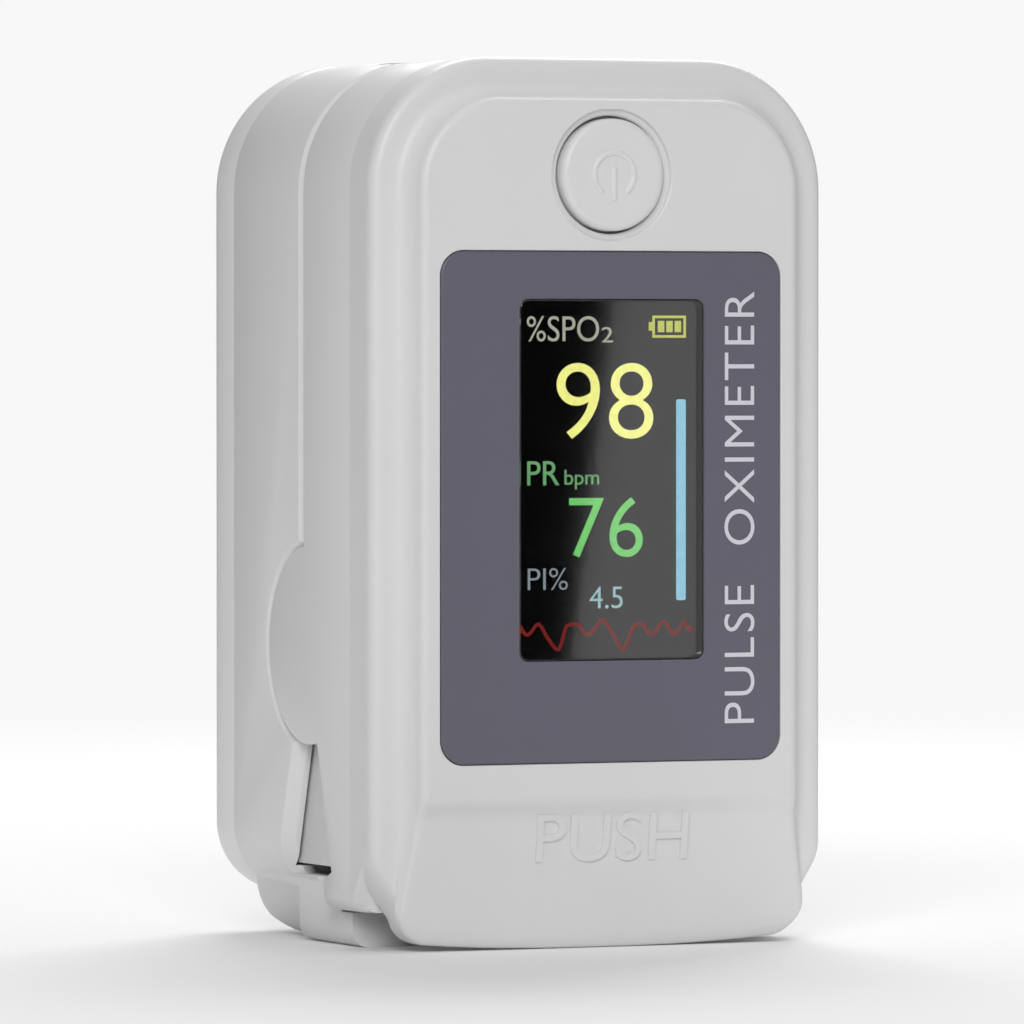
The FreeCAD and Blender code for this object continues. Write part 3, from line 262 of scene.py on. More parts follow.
def finish(name, colours, roughness, grainSize, grainDepth, shader=None, spread=0.06, patchSize=9.0, stretch=None,
           pattern=None):
    # base of every finish: object coordinates feed a slow cloud (colour and roughness drift) and a fine grain
    # (bump); pattern(material, coordinates, colour) may lay a drawing over the colour
    material = bpy.data.materials.new(name)
    material.use_nodes = True
    material.node_tree.nodes.clear()
    place = addNode(material, "ShaderNodeTexCoord").outputs["Object"]
    scaled = addNode(material, "ShaderNodeMapping", {"Scale": stretch or (1, 1, 1)}, {"Vector": place}).outputs[0]
    cloud = addNode(material, "ShaderNodeTexNoise", {"Scale": 1 / (patchSize * mm), "Detail": 3.0},
                    {"Vector": place})
    grain = addNode(material, "ShaderNodeTexNoise", {"Scale": 1 / (grainSize * mm), "Detail": 2.0},
                    {"Vector": scaled})
    blend = addNode(material, "ShaderNodeMix", {"data_type": "RGBA", 6: paint(colours[0]), 7: paint(colours[1])},
                    {0: cloud.outputs["Fac"]})
    colour = blend.outputs[2]
    if pattern:
        colour = pattern(material, place, colour)
    drift = addNode(material, "ShaderNodeMapRange", {"To Min": roughness - spread, "To Max": roughness + spread},
                    {"Value": cloud.outputs["Fac"]})
    bump = addNode(material, "ShaderNodeBump", {"Strength": 1.0, "Distance": grainDepth * mm},
                   {"Height": grain.outputs["Fac"]})
    surface = addNode(material, "ShaderNodeBsdfPrincipled", shader or {},
                      {"Base Color": colour, "Roughness": drift.outputs[0], "Normal": bump.outputs[0]})
    addNode(material, "ShaderNodeOutputMaterial", {}, {"Surface": surface.outputs[0]})
    return material


def axisBands(material, place, colour, axis, edges, bandHex):
    # paints bands across one axis: (edges in mm) each pair of values is one band of its own colour
    value = addNode(material, "ShaderNodeSeparateXYZ", {}, {0: place}).outputs[axis]
    for (low, high), hexCode in zip(edges, bandHex):
        above = addNode(material, "ShaderNodeMath", {"operation": "GREATER_THAN", 1: low * mm}, {0: value})
        below = addNode(material, "ShaderNodeMath", {"operation": "LESS_THAN", 1: high * mm}, {0: value})
        inside = addNode(material, "ShaderNodeMath", {"operation": "MULTIPLY"},
                         {0: above.outputs[0], 1: below.outputs[0]})
        colour = addNode(material, "ShaderNodeMix", {"data_type": "RGBA", 7: paint(hexCode)},
                         {0: inside.outputs[0], 6: colour}).outputs[2]
    return colour


def glow(name, hexCode, strength, grainSize=0.35):
    # lit parts of the display: an emission whose brightness drifts 0.86 to 1.1 with a fine cloud
    material = bpy.data.materials.new(name)
    material.use_nodes = True
    material.node_tree.nodes.clear()
    place = addNode(material, "ShaderNodeTexCoord").outputs["Object"]
    grid = addNode(material, "ShaderNodeTexNoise", {"Scale": 1 / (grainSize * mm), "Detail": 1.0},
                   {"Vector": place})
    level = addNode(material, "ShaderNodeMapRange", {"To Min": 0.86, "To Max": 1.1}, {"Value": grid.outputs["Fac"]})
    hue = addNode(material, "ShaderNodeMix", {"data_type": "RGBA", "blend_type": "MULTIPLY", 0: 1.0,
                  6: paint(hexCode)}, {7: level.outputs[0]})
    surface = addNode(material, "ShaderNodeBsdfPrincipled",
                      {"Base Color": (0, 0, 0, 1), "Roughness": 0.6, "Specular IOR Level": 0.0,
                       "Emission Strength": strength}, {"Emission Color": hue.outputs[2]})
    addNode(material, "ShaderNodeOutputMaterial", {}, {"Surface": surface.outputs[0]})
    return material


# moulded ABS: a spark-eroded mould leaves a fine satin grain; 0.28 mm pits are drawn coarser than life to show
mouldedAbs = finish("mouldedWhiteAbs", ("#EAEAEA", "#E4E4E4"), 0.40, 0.28, 0.006)
# the button is the same resin from a polished mould, so it is smoother and a touch brighter
polishedAbs = finish("polishedWhiteAbs", ("#ECECEC", "#E6E6E6"), 0.34, 0.35, 0.003)
# screen-printed polycarbonate overlay: slate ink under a satin hard coat with a leather-fine tooth
printedOverlay = finish("printedPolycarbonate", ("#696877", "#656472"), 0.36, 0.20, 0.003)
# silver-grey ink, slightly thicker than the film around it
silverInk = finish("screenPrintedInk", ("#E4E3EC", "#DDDCE5"), 0.5, 0.12, 0.002)
# clear acrylic window: polished, colourless, only its reflection is seen
clearAcrylic = finish("castAcrylic", ("#FFFFFF", "#FDFDFD"), 0.03, 1.5, 0.0002,
                      {"Transmission Weight": 1.0, "IOR": 1.49}, spread=0.01)
# epoxy lens over the light source and sensor: clear with a warm cast
clearEpoxy = finish("castEpoxy", ("#F3EFE4", "#EDE8DA"), 0.08, 0.6, 0.001,
                    {"Transmission Weight": 0.9, "IOR": 1.54}, spread=0.02)
# display glass: optically bonded, near black with no shine of its own
displayGlass = finish("bondedDisplayGlass", ("#040306", "#060508"), 0.5, 0.4, 0.0005, {"Specular IOR Level": 0.05})
# black ABS inner mouldings: duller than the outside, deeper grain
blackAbs = finish("mouldedBlackAbs", ("#1B1B1D", "#232325"), 0.48, 0.35, 0.008)
# liquid silicone rubber: matt, dusty, soft sheen
mouldedSilicone = finish("mouldedSilicone", ("#3A3D42", "#43464B"), 0.62, 0.45, 0.012,
                         {"Sheen Weight": 0.25, "Sheen Roughness": 0.5})


def boardTraces(material, place, colour):
    # green solder mask: copper tracks 0.3 mm wide show through as lighter stripes, cut by a second set
    turned = addNode(material, "ShaderNodeMapping", {"Scale": (420, 1, 330)}, {"Vector": place})
    tracks = addNode(material, "ShaderNodeTexBrick",
                     {"Color1": (1, 1, 1, 1), "Color2": (0.75, 0.75, 0.75, 1), "Mortar": (0.2, 0.2, 0.2, 1),
                      "Scale": 1.0, "Mortar Size": 0.03}, {"Vector": turned.outputs[0]})
    return addNode(material, "ShaderNodeMix", {"data_type": "RGBA", "blend_type": "MULTIPLY", 0: 0.5},
                   {6: colour, 7: tracks.outputs[0]}).outputs[2]


# glass-epoxy laminate under green solder mask: glossy, tracks faintly visible
boardLaminate = finish("solderMaskLaminate", ("#1F6B3A", "#17592F"), 0.28, 0.8, 0.004, pattern=boardTraces)
# moulded epoxy chip packages: matt charcoal with flow marks
chipEpoxy = finish("mouldedChipEpoxy", ("#202124", "#2B2C30"), 0.55, 0.18, 0.006, patchSize=1.5)
# zinc-plated steel screws: bright with a faint yellow-blue drift
platedSteel = finish("zincPlatedSteel", ("#B9BAB8", "#A8ACB0"), 0.30, 0.25, 0.004, {"Metallic": 1.0}, patchSize=1.2)
# ground pin: lengthwise grinding lines, so the grain is stretched along x
groundSteel = finish("groundPinSteel", ("#C2C2C4", "#B4B5B8"), 0.24, 0.12, 0.003, {"Metallic": 1.0},
                     stretch=(0.05, 1, 1))
# drawn spring wire: darker, oiled, with die lines
drawnWire = finish("drawnSpringWire", ("#8F8F90", "#7C7D80"), 0.33, 0.10, 0.003, {"Metallic": 1.0}, patchSize=0.8)
# nickel-plated contact strip: warm white metal, stamped
nickelPlate = finish("nickelPlatedStrip", ("#C9C3B6", "#BDB7AA"), 0.27, 0.3, 0.003, {"Metallic": 1.0}, patchSize=2)
# polyimide ribbon: amber film over copper
polyimideFilm = finish("polyimideFilm", ("#B5651D", "#9C5216"), 0.30, 0.5, 0.003, {"Coat Weight": 0.4}, patchSize=3)
# PVC wire sleeve: soft gloss, extruded
pvcSleeve = finish("extrudedPvc", ("#A8262A", "#8E1F24"), 0.38, 0.3, 0.003, patchSize=2)


def cellBands(material, place, colour):
    # plain sleeve: a broad pale band round the middle, edged by two thin dark lines
    return axisBands(material, place, colour, 2, ((27.0, 40.0), (26.4, 27.0), (40.0, 40.6)),
                     ("#C9CED3", "#2F3B44", "#2F3B44"))


# shrunk PVC sleeve over the cell's can: glossy print
shrunkSleeve = finish("shrunkPrintedSleeve", ("#4F7F8C", "#477582"), 0.22, 1.2, 0.004, {"Coat Weight": 0.3},
                      pattern=cellBands)

nodeFinish = {
    "front_cover": mouldedAbs, "upper_housing": mouldedAbs, "lower_housing": mouldedAbs, "back_shell": mouldedAbs,
    "battery_cover": mouldedAbs, "power_button": polishedAbs, "face_panel": printedOverlay,
    "display_window": clearAcrylic, "display_module": displayGlass, "display_frame": blackAbs,
    "main_board": boardLaminate, "receiver_board": boardLaminate, "emitter_board": boardLaminate,
    "board_components": chipEpoxy, "board_screws": platedSteel, "case_screws": platedSteel,
    "back_screws": platedSteel, "tact_switch": blackAbs, "switch_plunger": blackAbs,
    "upper_finger_pad": mouldedSilicone, "lower_finger_pad": mouldedSilicone, "receiver_window": clearEpoxy,
    "emitter_window": clearEpoxy, "battery_tray": blackAbs, "battery_left": shrunkSleeve,
    "battery_right": shrunkSleeve, "contact_plates": nickelPlate, "contact_springs": nickelPlate,
    "hinge_pin": groundSteel, "torsion_spring_left": drawnWire, "torsion_spring_right": drawnWire,
    "ribbon_lead": polyimideFilm, "battery_leads": pvcSleeve}


def edgeSmoothing(limit):
    # geometry nodes that shade across every edge flatter than the limit and keep the others crisp
    tree = bpy.data.node_groups.new("edgeSmoothing", "GeometryNodeTree")
    tree.interface.new_socket("Geometry", in_out="INPUT", socket_type="NodeSocketGeometry")
    tree.interface.new_socket("Geometry", in_out="OUTPUT", socket_type="NodeSocketGeometry")
    start, end = tree.nodes.new("NodeGroupInput"), tree.nodes.new("NodeGroupOutput")
    angle = tree.nodes.new("GeometryNodeInputMeshEdgeAngle")
    flatter = tree.nodes.new("FunctionNodeCompare")
    flatter.operation = "LESS_THAN"
    flatter.inputs[1].default_value = math.radians(limit)
    faces, edges = tree.nodes.new("GeometryNodeSetShadeSmooth"), tree.nodes.new("GeometryNodeSetShadeSmooth")
    edges.domain = "EDGE"
    tree.links.new(angle.outputs[0], flatter.inputs[0])
    tree.links.new(start.outputs[0], faces.inputs[0])
    tree.links.new(faces.outputs[0], edges.inputs[0])
    tree.links.new(flatter.outputs[0], edges.inputs["Shade Smooth"])
    tree.links.new(edges.outputs[0], end.inputs[0])
    return tree


crispEdges = edgeSmoothing(28)
roundedNodes = {"upper_housing": 0.12, "lower_housing": 0.12, "back_shell": 0.12, "battery_cover": 0.12,
                "battery_tray": 0.1, "display_frame": 0.1, "tact_switch": 0.1, "board_components": 0.08}
for nodeName, nodeMaterial in nodeFinish.items():
    node = cadNodes[nodeName]
    node.data.materials.clear()
    node.data.materials.append(nodeMaterial)
    # CAD triangles share no corners: weld them, merge flat ones, then round moulded edges a little
    node.modifiers.new("weld", "WELD").merge_threshold = 0.002 * mm
    if nodeName in roundedNodes:
        merge = node.modifiers.new("merge", "DECIMATE")
        merge.decimate_type = "DISSOLVE"
        merge.angle_limit = math.radians(0.6)
        edge = node.modifiers.new("edge", "BEVEL")
        edge.width = roundedNodes[nodeName] * mm
        edge.segments = 2
        edge.limit_method = "ANGLE"
        edge.angle_limit = math.radians(35)
    node.modifiers.new("shade", "NODES").node_group = crispEdges
print("finishes on", len(nodeFinish), "CAD nodes")


# front cover: one skin from the parting, round the band, over the step to the raised face, and inside
coverSizes = {
    "bandLow": 2.6, "bandRadius": 9.0, "bandFootRadius": 4.0, "partingRadius": 1.0, "footRadius": 2.0,
    "inset": 2.8, "flare": 0.07,
    "lipBow": 0.45, "crease": 10.4, "creaseFoot": 9.2, "creaseDepth": 0.3, "footLevel": 0.2, "wall": 1.2,
    "panelHalf": 12.88, "panelLow": 12.75, "panelHigh": 47.75, "panelRadius": 1.75, "panelFloor": -14.5,
    "openHalf": 8.45, "openLow": 17.9, "openHigh": 46.3, "seatRadius": 4.5, "holeRadius": 4.05,
    "bossRadius": 1.6, "tailRoom": 1.05}


def faceLevel(z):
    # share of the raised face's height left at a height z: 1 above the crease, a quick soft step just under
    # it, then a straight slope to the foot
    c = coverSizes
    step = 1 - c["creaseDepth"] * (1 - smoothStep(c["creaseFoot"] - 0.25, c["crease"] + 0.1, z))
    slope = np.clip((c["creaseFoot"] - z) / c["creaseFoot"], 0, 1)
    return step - (1 - c["creaseDepth"] - c["footLevel"]) * slope


def faceDepth(x, z):
    return bandPlane + (facePlane - bandPlane) * faceLevel(z)


def coverRing(inset, depth, footRise, footDepth):
    # outline at this inset; along the foot the ring takes its own height and depth, blended round the corners
    c = coverSizes
    share = min(inset / c["inset"], 1.0)
    # the foot's corners are tight where the shells part and open out towards the front
    opened = float(smoothStep(0.0, 2.9, partingPlane - depth))
    lowRadius = c["partingRadius"] + (c["bandFootRadius"] - c["partingRadius"]) * opened
    lowRadius += (c["footRadius"] - c["bandFootRadius"]) * share
    lowRadius = max(lowRadius - max(inset - c["inset"], 0) * 0.5, 0.4)
    highRadius = max(c["bandRadius"] - inset, 0.4)
    outline = roundedOutline(halfWidth - inset, footRise, topEdge - inset, highRadius, lowRadius)
    x, z = outline.T
    raised = smoothStep(0.5, 1.0, share)
    x = x * (1 + c["flare"] * raised * (1 - smoothStep(1.0, 11.0, z)))
    z = z + c["lipBow"] * raised * (np.abs(x) / 13.0) ** 2.5 * (1 - smoothStep(0.5, 7.0, z))
    weight = 1 - smoothStep(footRise + 0.15 * lowRadius, footRise + lowRadius * 1.0 + 0.6, z)
    y = depth + (footDepth - depth) * weight
    proud = y < bandPlane
    y = np.where(proud, bandPlane + (y - bandPlane) * faceLevel(z), y)
    return np.column_stack([x, y, z])


def tailRoom(points):
    # where the battery half's foot swings in, the rim stops short of the parting
    x, y, z = points.T
    room = (1 - smoothStep(15.87, 16.1, np.abs(x))) * (1 - smoothStep(4.4, 4.9, z))
    return np.column_stack([x, y - np.maximum(y - partingPlane + coverSizes["tailRoom"], 0) * room, z])


def curvePoints(keys, steps):
    # Catmull-Rom curve through rows of numbers
    keys = np.asarray(keys, float)
    padded = np.vstack([2 * keys[0] - keys[1], keys, 2 * keys[-1] - keys[-2]])
    t = np.linspace(0, 1, steps, endpoint=False)[:, None]
    pieces = [0.5 * (2 * b + (c - a) * t + (2 * a - 5 * b + 4 * c - d) * t ** 2 + (3 * b - a - 3 * c + d) * t ** 3)
              for a, b, c, d in zip(padded, padded[1:], padded[2:], padded[3:])]
    return np.vstack(pieces + [keys[-1:]])


def makeFrontCover():
    c = coverSizes
    work = Patchwork()
    # each row: inset and depth round the sides and top; height and depth along the foot
    rim = tailRoom(coverRing(0, partingPlane, c["bandLow"], partingPlane))
    profile = curvePoints([
        (0.00, -9.60, 2.60, -9.60), (0.00, -10.60, 2.60, -10.20), (0.00, -11.60, 2.60, -10.60),
        (0.00, -12.45, 2.60, -10.72), (0.10, -12.90, 2.45, -10.80), (0.36, -13.20, 2.20, -10.80),
        (0.80, -13.32, 1.80, -10.80), (1.40, -13.34, 1.20, -10.80), (1.90, -13.44, 0.70, -10.84),
        (2.30, -13.75, 0.32, -10.98), (2.60, -14.20, 0.10, -11.20), (2.76, -14.60, 0.02, -11.55),
        (2.84, -14.90, 0.00, -12.20), (2.96, -15.10, 0.00, -12.90), (3.12, -15.22, 0.16, -14.00),
        (3.28, -15.28, 0.60, -14.90), (3.42, -15.30, 1.10, -15.22), (3.56, -15.30, 1.60, -15.30)], 3)
    rings = [tailRoom(coverRing(*row)) for row in profile]
    rings[0] = rim
    work.grid(rings)
    # the raised face, with the recess for the panel and the button's seat left out
    angle = np.arange(96) / 96 * 2 * math.pi

    def circle(radius, depth):
        return np.column_stack([radius * np.cos(angle), np.full(96, depth), buttonRise + radius * np.sin(angle)])

    def panelRing(grow, depth):
        return ring(roundedOutline(c["panelHalf"] + grow, c["panelLow"] - grow, c["panelHigh"] + grow,
                                   c["panelRadius"] + grow, c["panelRadius"] + grow), depth)

    recess = [panelRing(0.1, facePlane), panelRing(0.03, facePlane + 0.03), panelRing(0, facePlane + 0.1),
              panelRing(0, c["panelFloor"])]
    seat = [circle(c["seatRadius"] + 0.1, facePlane), circle(c["seatRadius"] + 0.03, facePlane + 0.04),
            circle(c["seatRadius"], facePlane + 0.12), circle(c["seatRadius"] - 0.05, facePlane + 0.30),
            circle(c["holeRadius"] + 0.1, facePlane + 0.36), circle(c["holeRadius"], facePlane + 0.46),
            circle(c["holeRadius"], facePlane + 1.5)]
    rows = np.concatenate([np.arange(1.9, 9.0, 0.55), np.arange(9.0, 10.9, 0.12)])
    columns = np.arange(-12.6, 12.7, 0.7)
    gridX, gridZ = np.meshgrid(columns, rows)
    edge = np.asarray(rings[-1])
    extra = np.column_stack([gridX.ravel(), gridZ.ravel()])
    inner = edge[:, [0, 2]] * np.array([0.985, 0.99]) + np.array([0, 0.25])
    extra = extra[insideLoop(extra, inner)]
    work.flat(edge, [recess[0], seat[0]], faceDepth, extra)
    work.grid(recess)
    work.grid(seat)
    # floor of the recess, the display's opening, then the inside of the cover
    opening = roundedOutline(c["openHalf"], c["openLow"], c["openHigh"], 0.4, 0.4)
    behind = facePlane + 1.5
    inside = roundedOutline(halfWidth - 4.3, 11.6, 56.7, 4.7, 0.6)
    deep = roundedOutline(halfWidth - c["wall"], c["bandLow"] + c["wall"], topEdge - c["wall"], 7.8, 1.0)
    work.grid([recess[-1], ring(opening, c["panelFloor"]), ring(opening, behind)])
    work.flat(ring(inside, behind), [ring(opening, behind), seat[-1]], lambda x, z: np.full(len(x), behind))
    work.grid([ring(inside, behind), ring(inside, bandPlane + c["wall"]), ring(deep, bandPlane + c["wall"]),
               tailRoom(ring(deep, partingPlane)), rim])
    # screw bosses: a turned post with a pilot hole, at the board's and the case's screws
    boardBosses = [(10.8 * side, z, behind - 0.3, -12.0) for z in (15.0, 51.6) for side in bothSides]
    caseBosses = [(14.2 * side, z, bandPlane + 0.4, -9.35) for z in (8.4, 47.0) for side in bothSides]
    radius, pilot = c["bossRadius"], 0.75
    for x, z, foot, end in boardBosses + caseBosses:
        lathe(work, [(0, foot), (radius, foot), (radius, end - 0.1), (radius - 0.1, end), (pilot, end),
                     (pilot, end - 0.3), (pilot, foot + 0.3), (0, foot + 0.3)], x, z, 32)
    return makePiece("frontCoverShell", work, mouldedAbs, "display_unit", "front_cover", 20)


makeFrontCover()

pushSizes = {"left": -5.4, "right": 6.05, "foot": 6.0, "top": 9.3, "proud": 0.2}
pushWords = Patchwork()
letters(pushWords, "PUSH", pushSizes["left"], pushSizes["right"], pushSizes["foot"], pushSizes["top"],
        lambda x, z: faceDepth(x, z) - pushSizes["proud"], lambda x, z: faceDepth(x, z) + 0.3, weight=0.0)
makePiece("pushLettering", pushWords, mouldedAbs, "display_unit")
print("front cover made")


# power button: a turned cap with a soft rim, and the power sign raised on it
buttonSizes = {"capRadius": 3.85, "proud": 0.4, "signRadius": 1.5, "signWidth": 0.42, "signHeight": 0.16,
               "flangeRadius": 4.7, "rimRadius": 0.45}


def makeButton():
    b = buttonSizes
    front = facePlane - b["proud"]
    work = Patchwork()
    r = b["capRadius"]
    # dished by 0.05 mm in the middle, quarter-round rim, then straight to the flange
    soft = b["rimRadius"]
    rim = [(r - soft + soft * math.sin(a), front + soft - soft * math.cos(a))
           for a in np.linspace(0.2, math.pi / 2, 8)]
    lathe(work, [(0, front + 0.05), (1.2, front + 0.045), (2.4, front + 0.02), (r - 0.6, front)] + rim
          + [(r, -13.9), (r, -13.75), (b["flangeRadius"], -13.75), (b["flangeRadius"], -13.3), (0, -13.3)],
          0, buttonRise, 96)
    gap = math.radians(42)
    angle = np.linspace(-math.pi / 2 + gap, 1.5 * math.pi - gap, 60)
    bead(work, np.column_stack([b["signRadius"] * np.cos(angle), buttonRise + b["signRadius"] * np.sin(angle)]),
         b["signWidth"], b["signHeight"], front + 0.05)
    bead(work, [(0, buttonRise + 0.35 - t) for t in np.linspace(0, 2.0, 12)], b["signWidth"], b["signHeight"],
         front + 0.05)
    return makePiece("powerButtonCap", work, polishedAbs, "power_button", "power_button", 20)


makeButton()
print("button made")


# printed panel, its lettering and the clear window
panelSizes = {"half": 12.83, "low": 12.8, "high": 47.7, "radius": 1.7, "thickness": 0.75, "edge": 0.12}
windowSizes = {"half": 6.92, "low": 19.8, "high": 44.4, "radius": 0.6, "edge": 0.08}


def panelRows(sizes, grow, front, thickness):
    # outline carried through: rounded front edge, wall, back
    edge = sizes["edge"]
    steps = [(edge, 0), (edge * 0.3, edge * 0.3), (0, edge), (0, thickness)]
    rows = []
    for inset, depth in steps:
        out = grow - inset
        corner = sizes["radius"] + max(out, -0.3)
        outline = roundedOutline(sizes["half"] + out, sizes["low"] - out, sizes["high"] + out, corner, corner)
        rows.append(ring(outline, front + depth))
    return rows


def makePanel():
    work = Patchwork()
    outer = panelRows(panelSizes, 0, facePlane, panelSizes["thickness"])
    # the opening clears the window by 0.05 mm and its front edge flares by the window's own edge
    w, gap = windowSizes, 0.05
    opening = panelRows(dict(w, edge=-w["edge"]), gap, facePlane, panelSizes["thickness"])
    opening[-2] = ring(roundedOutline(w["half"] + gap, w["low"] - gap, w["high"] + gap, w["radius"] + gap,
                                      w["radius"] + gap), facePlane + w["edge"])
    work.flat(outer[0], [opening[0]], lambda x, z: np.full(len(x), facePlane))
    work.grid(outer)
    work.grid(opening)
    work.flat(outer[-1], [opening[-1]], lambda x, z: np.full(len(x), facePlane + panelSizes["thickness"]))
    return makePiece("facePanelPrint", work, printedOverlay, "display_unit", "face_panel", 15)


def makeWindow():
    work = Patchwork()
    rows = panelRows(windowSizes, 0, facePlane, panelSizes["thickness"])
    work.grid(rows)
    work.flat(rows[0], [], lambda x, z: np.full(len(x), facePlane))
    work.flat(rows[-1], [], lambda x, z: np.full(len(x), facePlane + panelSizes["thickness"]))
    return makePiece("displayWindowLens", work, clearAcrylic, "display_unit", "display_window", 15)


makePanel()
makeWindow()
titleWords = Patchwork()
titleSizes = {"left": 8.55, "right": 10.85, "foot": 15.3, "top": 45.0, "proud": 0.03}
letters(titleWords, "PULSE  OXIMETER", titleSizes["left"], titleSizes["right"], titleSizes["foot"],
        titleSizes["top"], facePlane - titleSizes["proud"], facePlane + 0.02, turned=True, spacing=1.12,
        weight=-0.006)
makePiece("panelLettering", titleWords, silverInk, "display_unit")
print("panel and window made")

# what the display shows
litFront, litBack = -14.535, -14.495
# name, colour, brightness, then for each run of letters: words, left, right, foot, top, stroke change
readouts = [
    ("saturationLabel", "#C9CDB8", 0.7, [("%SPO", -6.19, -0.75, 41.56, 43.29, -0.004),
                                         ("2", -0.55, 0.3, 41.5, 42.55, -0.004)]),
    ("saturationValue", "#EFF08A", 1.1, [("98", -3.95, 3.37, 34.9, 40.1, -0.008)]),
    ("pulseLabel", "#86C98A", 0.65, [("PR", -6.16, -3.75, 31.75, 33.4, 0.0),
                                     ("bpm", -3.35, -0.74, 31.45, 32.8, 0.0)]),
    ("pulseValue", "#79D873", 0.9, [("76", -3.0, 2.57, 26.8, 30.9, -0.006)]),
    ("perfusionLabel", "#A9B7BE", 0.6, [("PI%", -6.12, -3.12, 24.6, 26.1, -0.01)]),
    ("perfusionValue", "#A9D6DC", 0.7, [("4.5", -1.46, 1.04, 23.3, 24.8, -0.006)])]
for pieceName, hexCode, strength, runs in readouts:
    work = Patchwork()
    for words, left, right, foot, top, weight in runs:
        letters(work, words, left, right, foot, top, litFront, litBack, weight=weight)
    makePiece(pieceName, work, glow(pieceName + "Glow", hexCode, strength), "display_unit")


def slab(work, half, low, high, radius, centre, front=litFront, back=litBack):
    outline = roundedOutline(half, low, high, radius, radius, 4, 4, 5, centre)
    work.grid([ring(outline, front), ring(outline, back)])
    work.cap(ring(outline, front))
    work.cap(ring(outline, back))


barWork = Patchwork()
slab(barWork, 0.36, 23.8, 37.6, 0.15, 5.48)
makePiece("levelBar", barWork, glow("levelBarGlow", "#8CC8E0", 0.95), "display_unit")
iconWork = Patchwork()
for low, high, left, right in ((41.82, 42.0, 3.3, 5.85), (43.16, 43.34, 3.3, 5.85), (42.0, 43.16, 3.3, 3.48),
                               (42.0, 43.16, 5.67, 5.85), (42.3, 42.9, 3.03, 3.3), (42.2, 42.98, 3.72, 4.2),
                               (42.2, 42.98, 4.36, 4.84), (42.2, 42.98, 5.0, 5.48)):
    slab(iconWork, (right - left) / 2, low, high, 0.03, (left + right) / 2)
makePiece("batteryIcon", iconWork, glow("batteryIconGlow", "#D3D860", 0.8), "display_unit")
waveWork = Patchwork()
wave = [(-6.75, 22.3), (-6.3, 21.6), (-5.9, 21.7), (-5.3, 22.3), (-4.6, 21.3), (-3.8, 20.5), (-3.3, 21.9),
        (-3.0, 22.2), (-2.3, 22.2), (-1.9, 21.7), (-1.5, 21.5), (-0.9, 22.1), (-0.4, 22.5), (0.4, 21.4),
        (1.1, 20.4), (1.7, 21.7),
        (2.0, 22.1), (2.6, 22.2), (3.0, 21.6), (3.4, 21.5), (3.9, 22.1), (4.3, 22.3), (4.8, 21.6), (5.1, 21.5),
        (5.5, 22.0), (5.8, 22.3), (6.1, 21.7), (6.3, 21.9)]
bead(waveWork, curvePoints(wave, 3), 0.26, 0.03, -14.56, sides=5)
makePiece("pulseWave", waveWork, glow("pulseWaveGlow", "#8E2F2C", 0.6), "display_unit")
print("display contents made")

# finger pads: a soft block with a round channel, closed at the fingertip's end and opened out at its mouth
upperPadSizes = {"radius": 9.187, "centre": 1.987, "rim": -1.5, "floor": -8.3}
lowerPadSizes = {"radius": 14.3, "centre": -13.0, "rim": -1.2, "floor": 2.4}
padSizes = {"half": 11.5, "mouthHalf": 9.75, "shoulder": 58.6, "foot": 26.0, "top": 60.55, "wall": 2.0,
            "edge": 0.35, "lip": 0.14, "flare": 0.35, "fillet": 1.2}
lensSizes = {"half": 2.45, "low": 36.55, "high": 42.45, "radius": 0.8, "proud": 0.12}


def channelDepth(x, sizes):
    # a circle below the rim, eased into it as lip * log(1 + e^(depth / lip))
    chord = abs(sizes["rim"] - sizes["centre"])
    deep = np.sqrt(np.maximum(sizes["radius"] ** 2 - x ** 2, 0)) - chord
    return padSizes["lip"] * np.logaddexp(0, deep / padSizes["lip"])


def padWall(half, base):
    # left half of the block's section: rounded rim edge, side, rounded floor edge, floor; then its mirror image
    edge = padSizes["edge"]
    upper = np.linspace(math.pi / 8, math.pi / 2, 4)
    lower = np.linspace(0, math.pi / 2, 5)
    x = np.concatenate([half - edge + edge * np.sin(upper), np.full(7, half), half - edge + edge * np.cos(lower),
                        np.linspace(half - edge, 0, 26)[1:]])
    deep = np.concatenate([edge - edge * np.cos(upper), np.linspace(edge, base - edge, 9)[1:-1],
                           base - edge + edge * np.sin(lower), np.full(25, base)])
    return np.concatenate([-x, x[::-1][1:]]), np.concatenate([deep, deep[::-1][1:]])


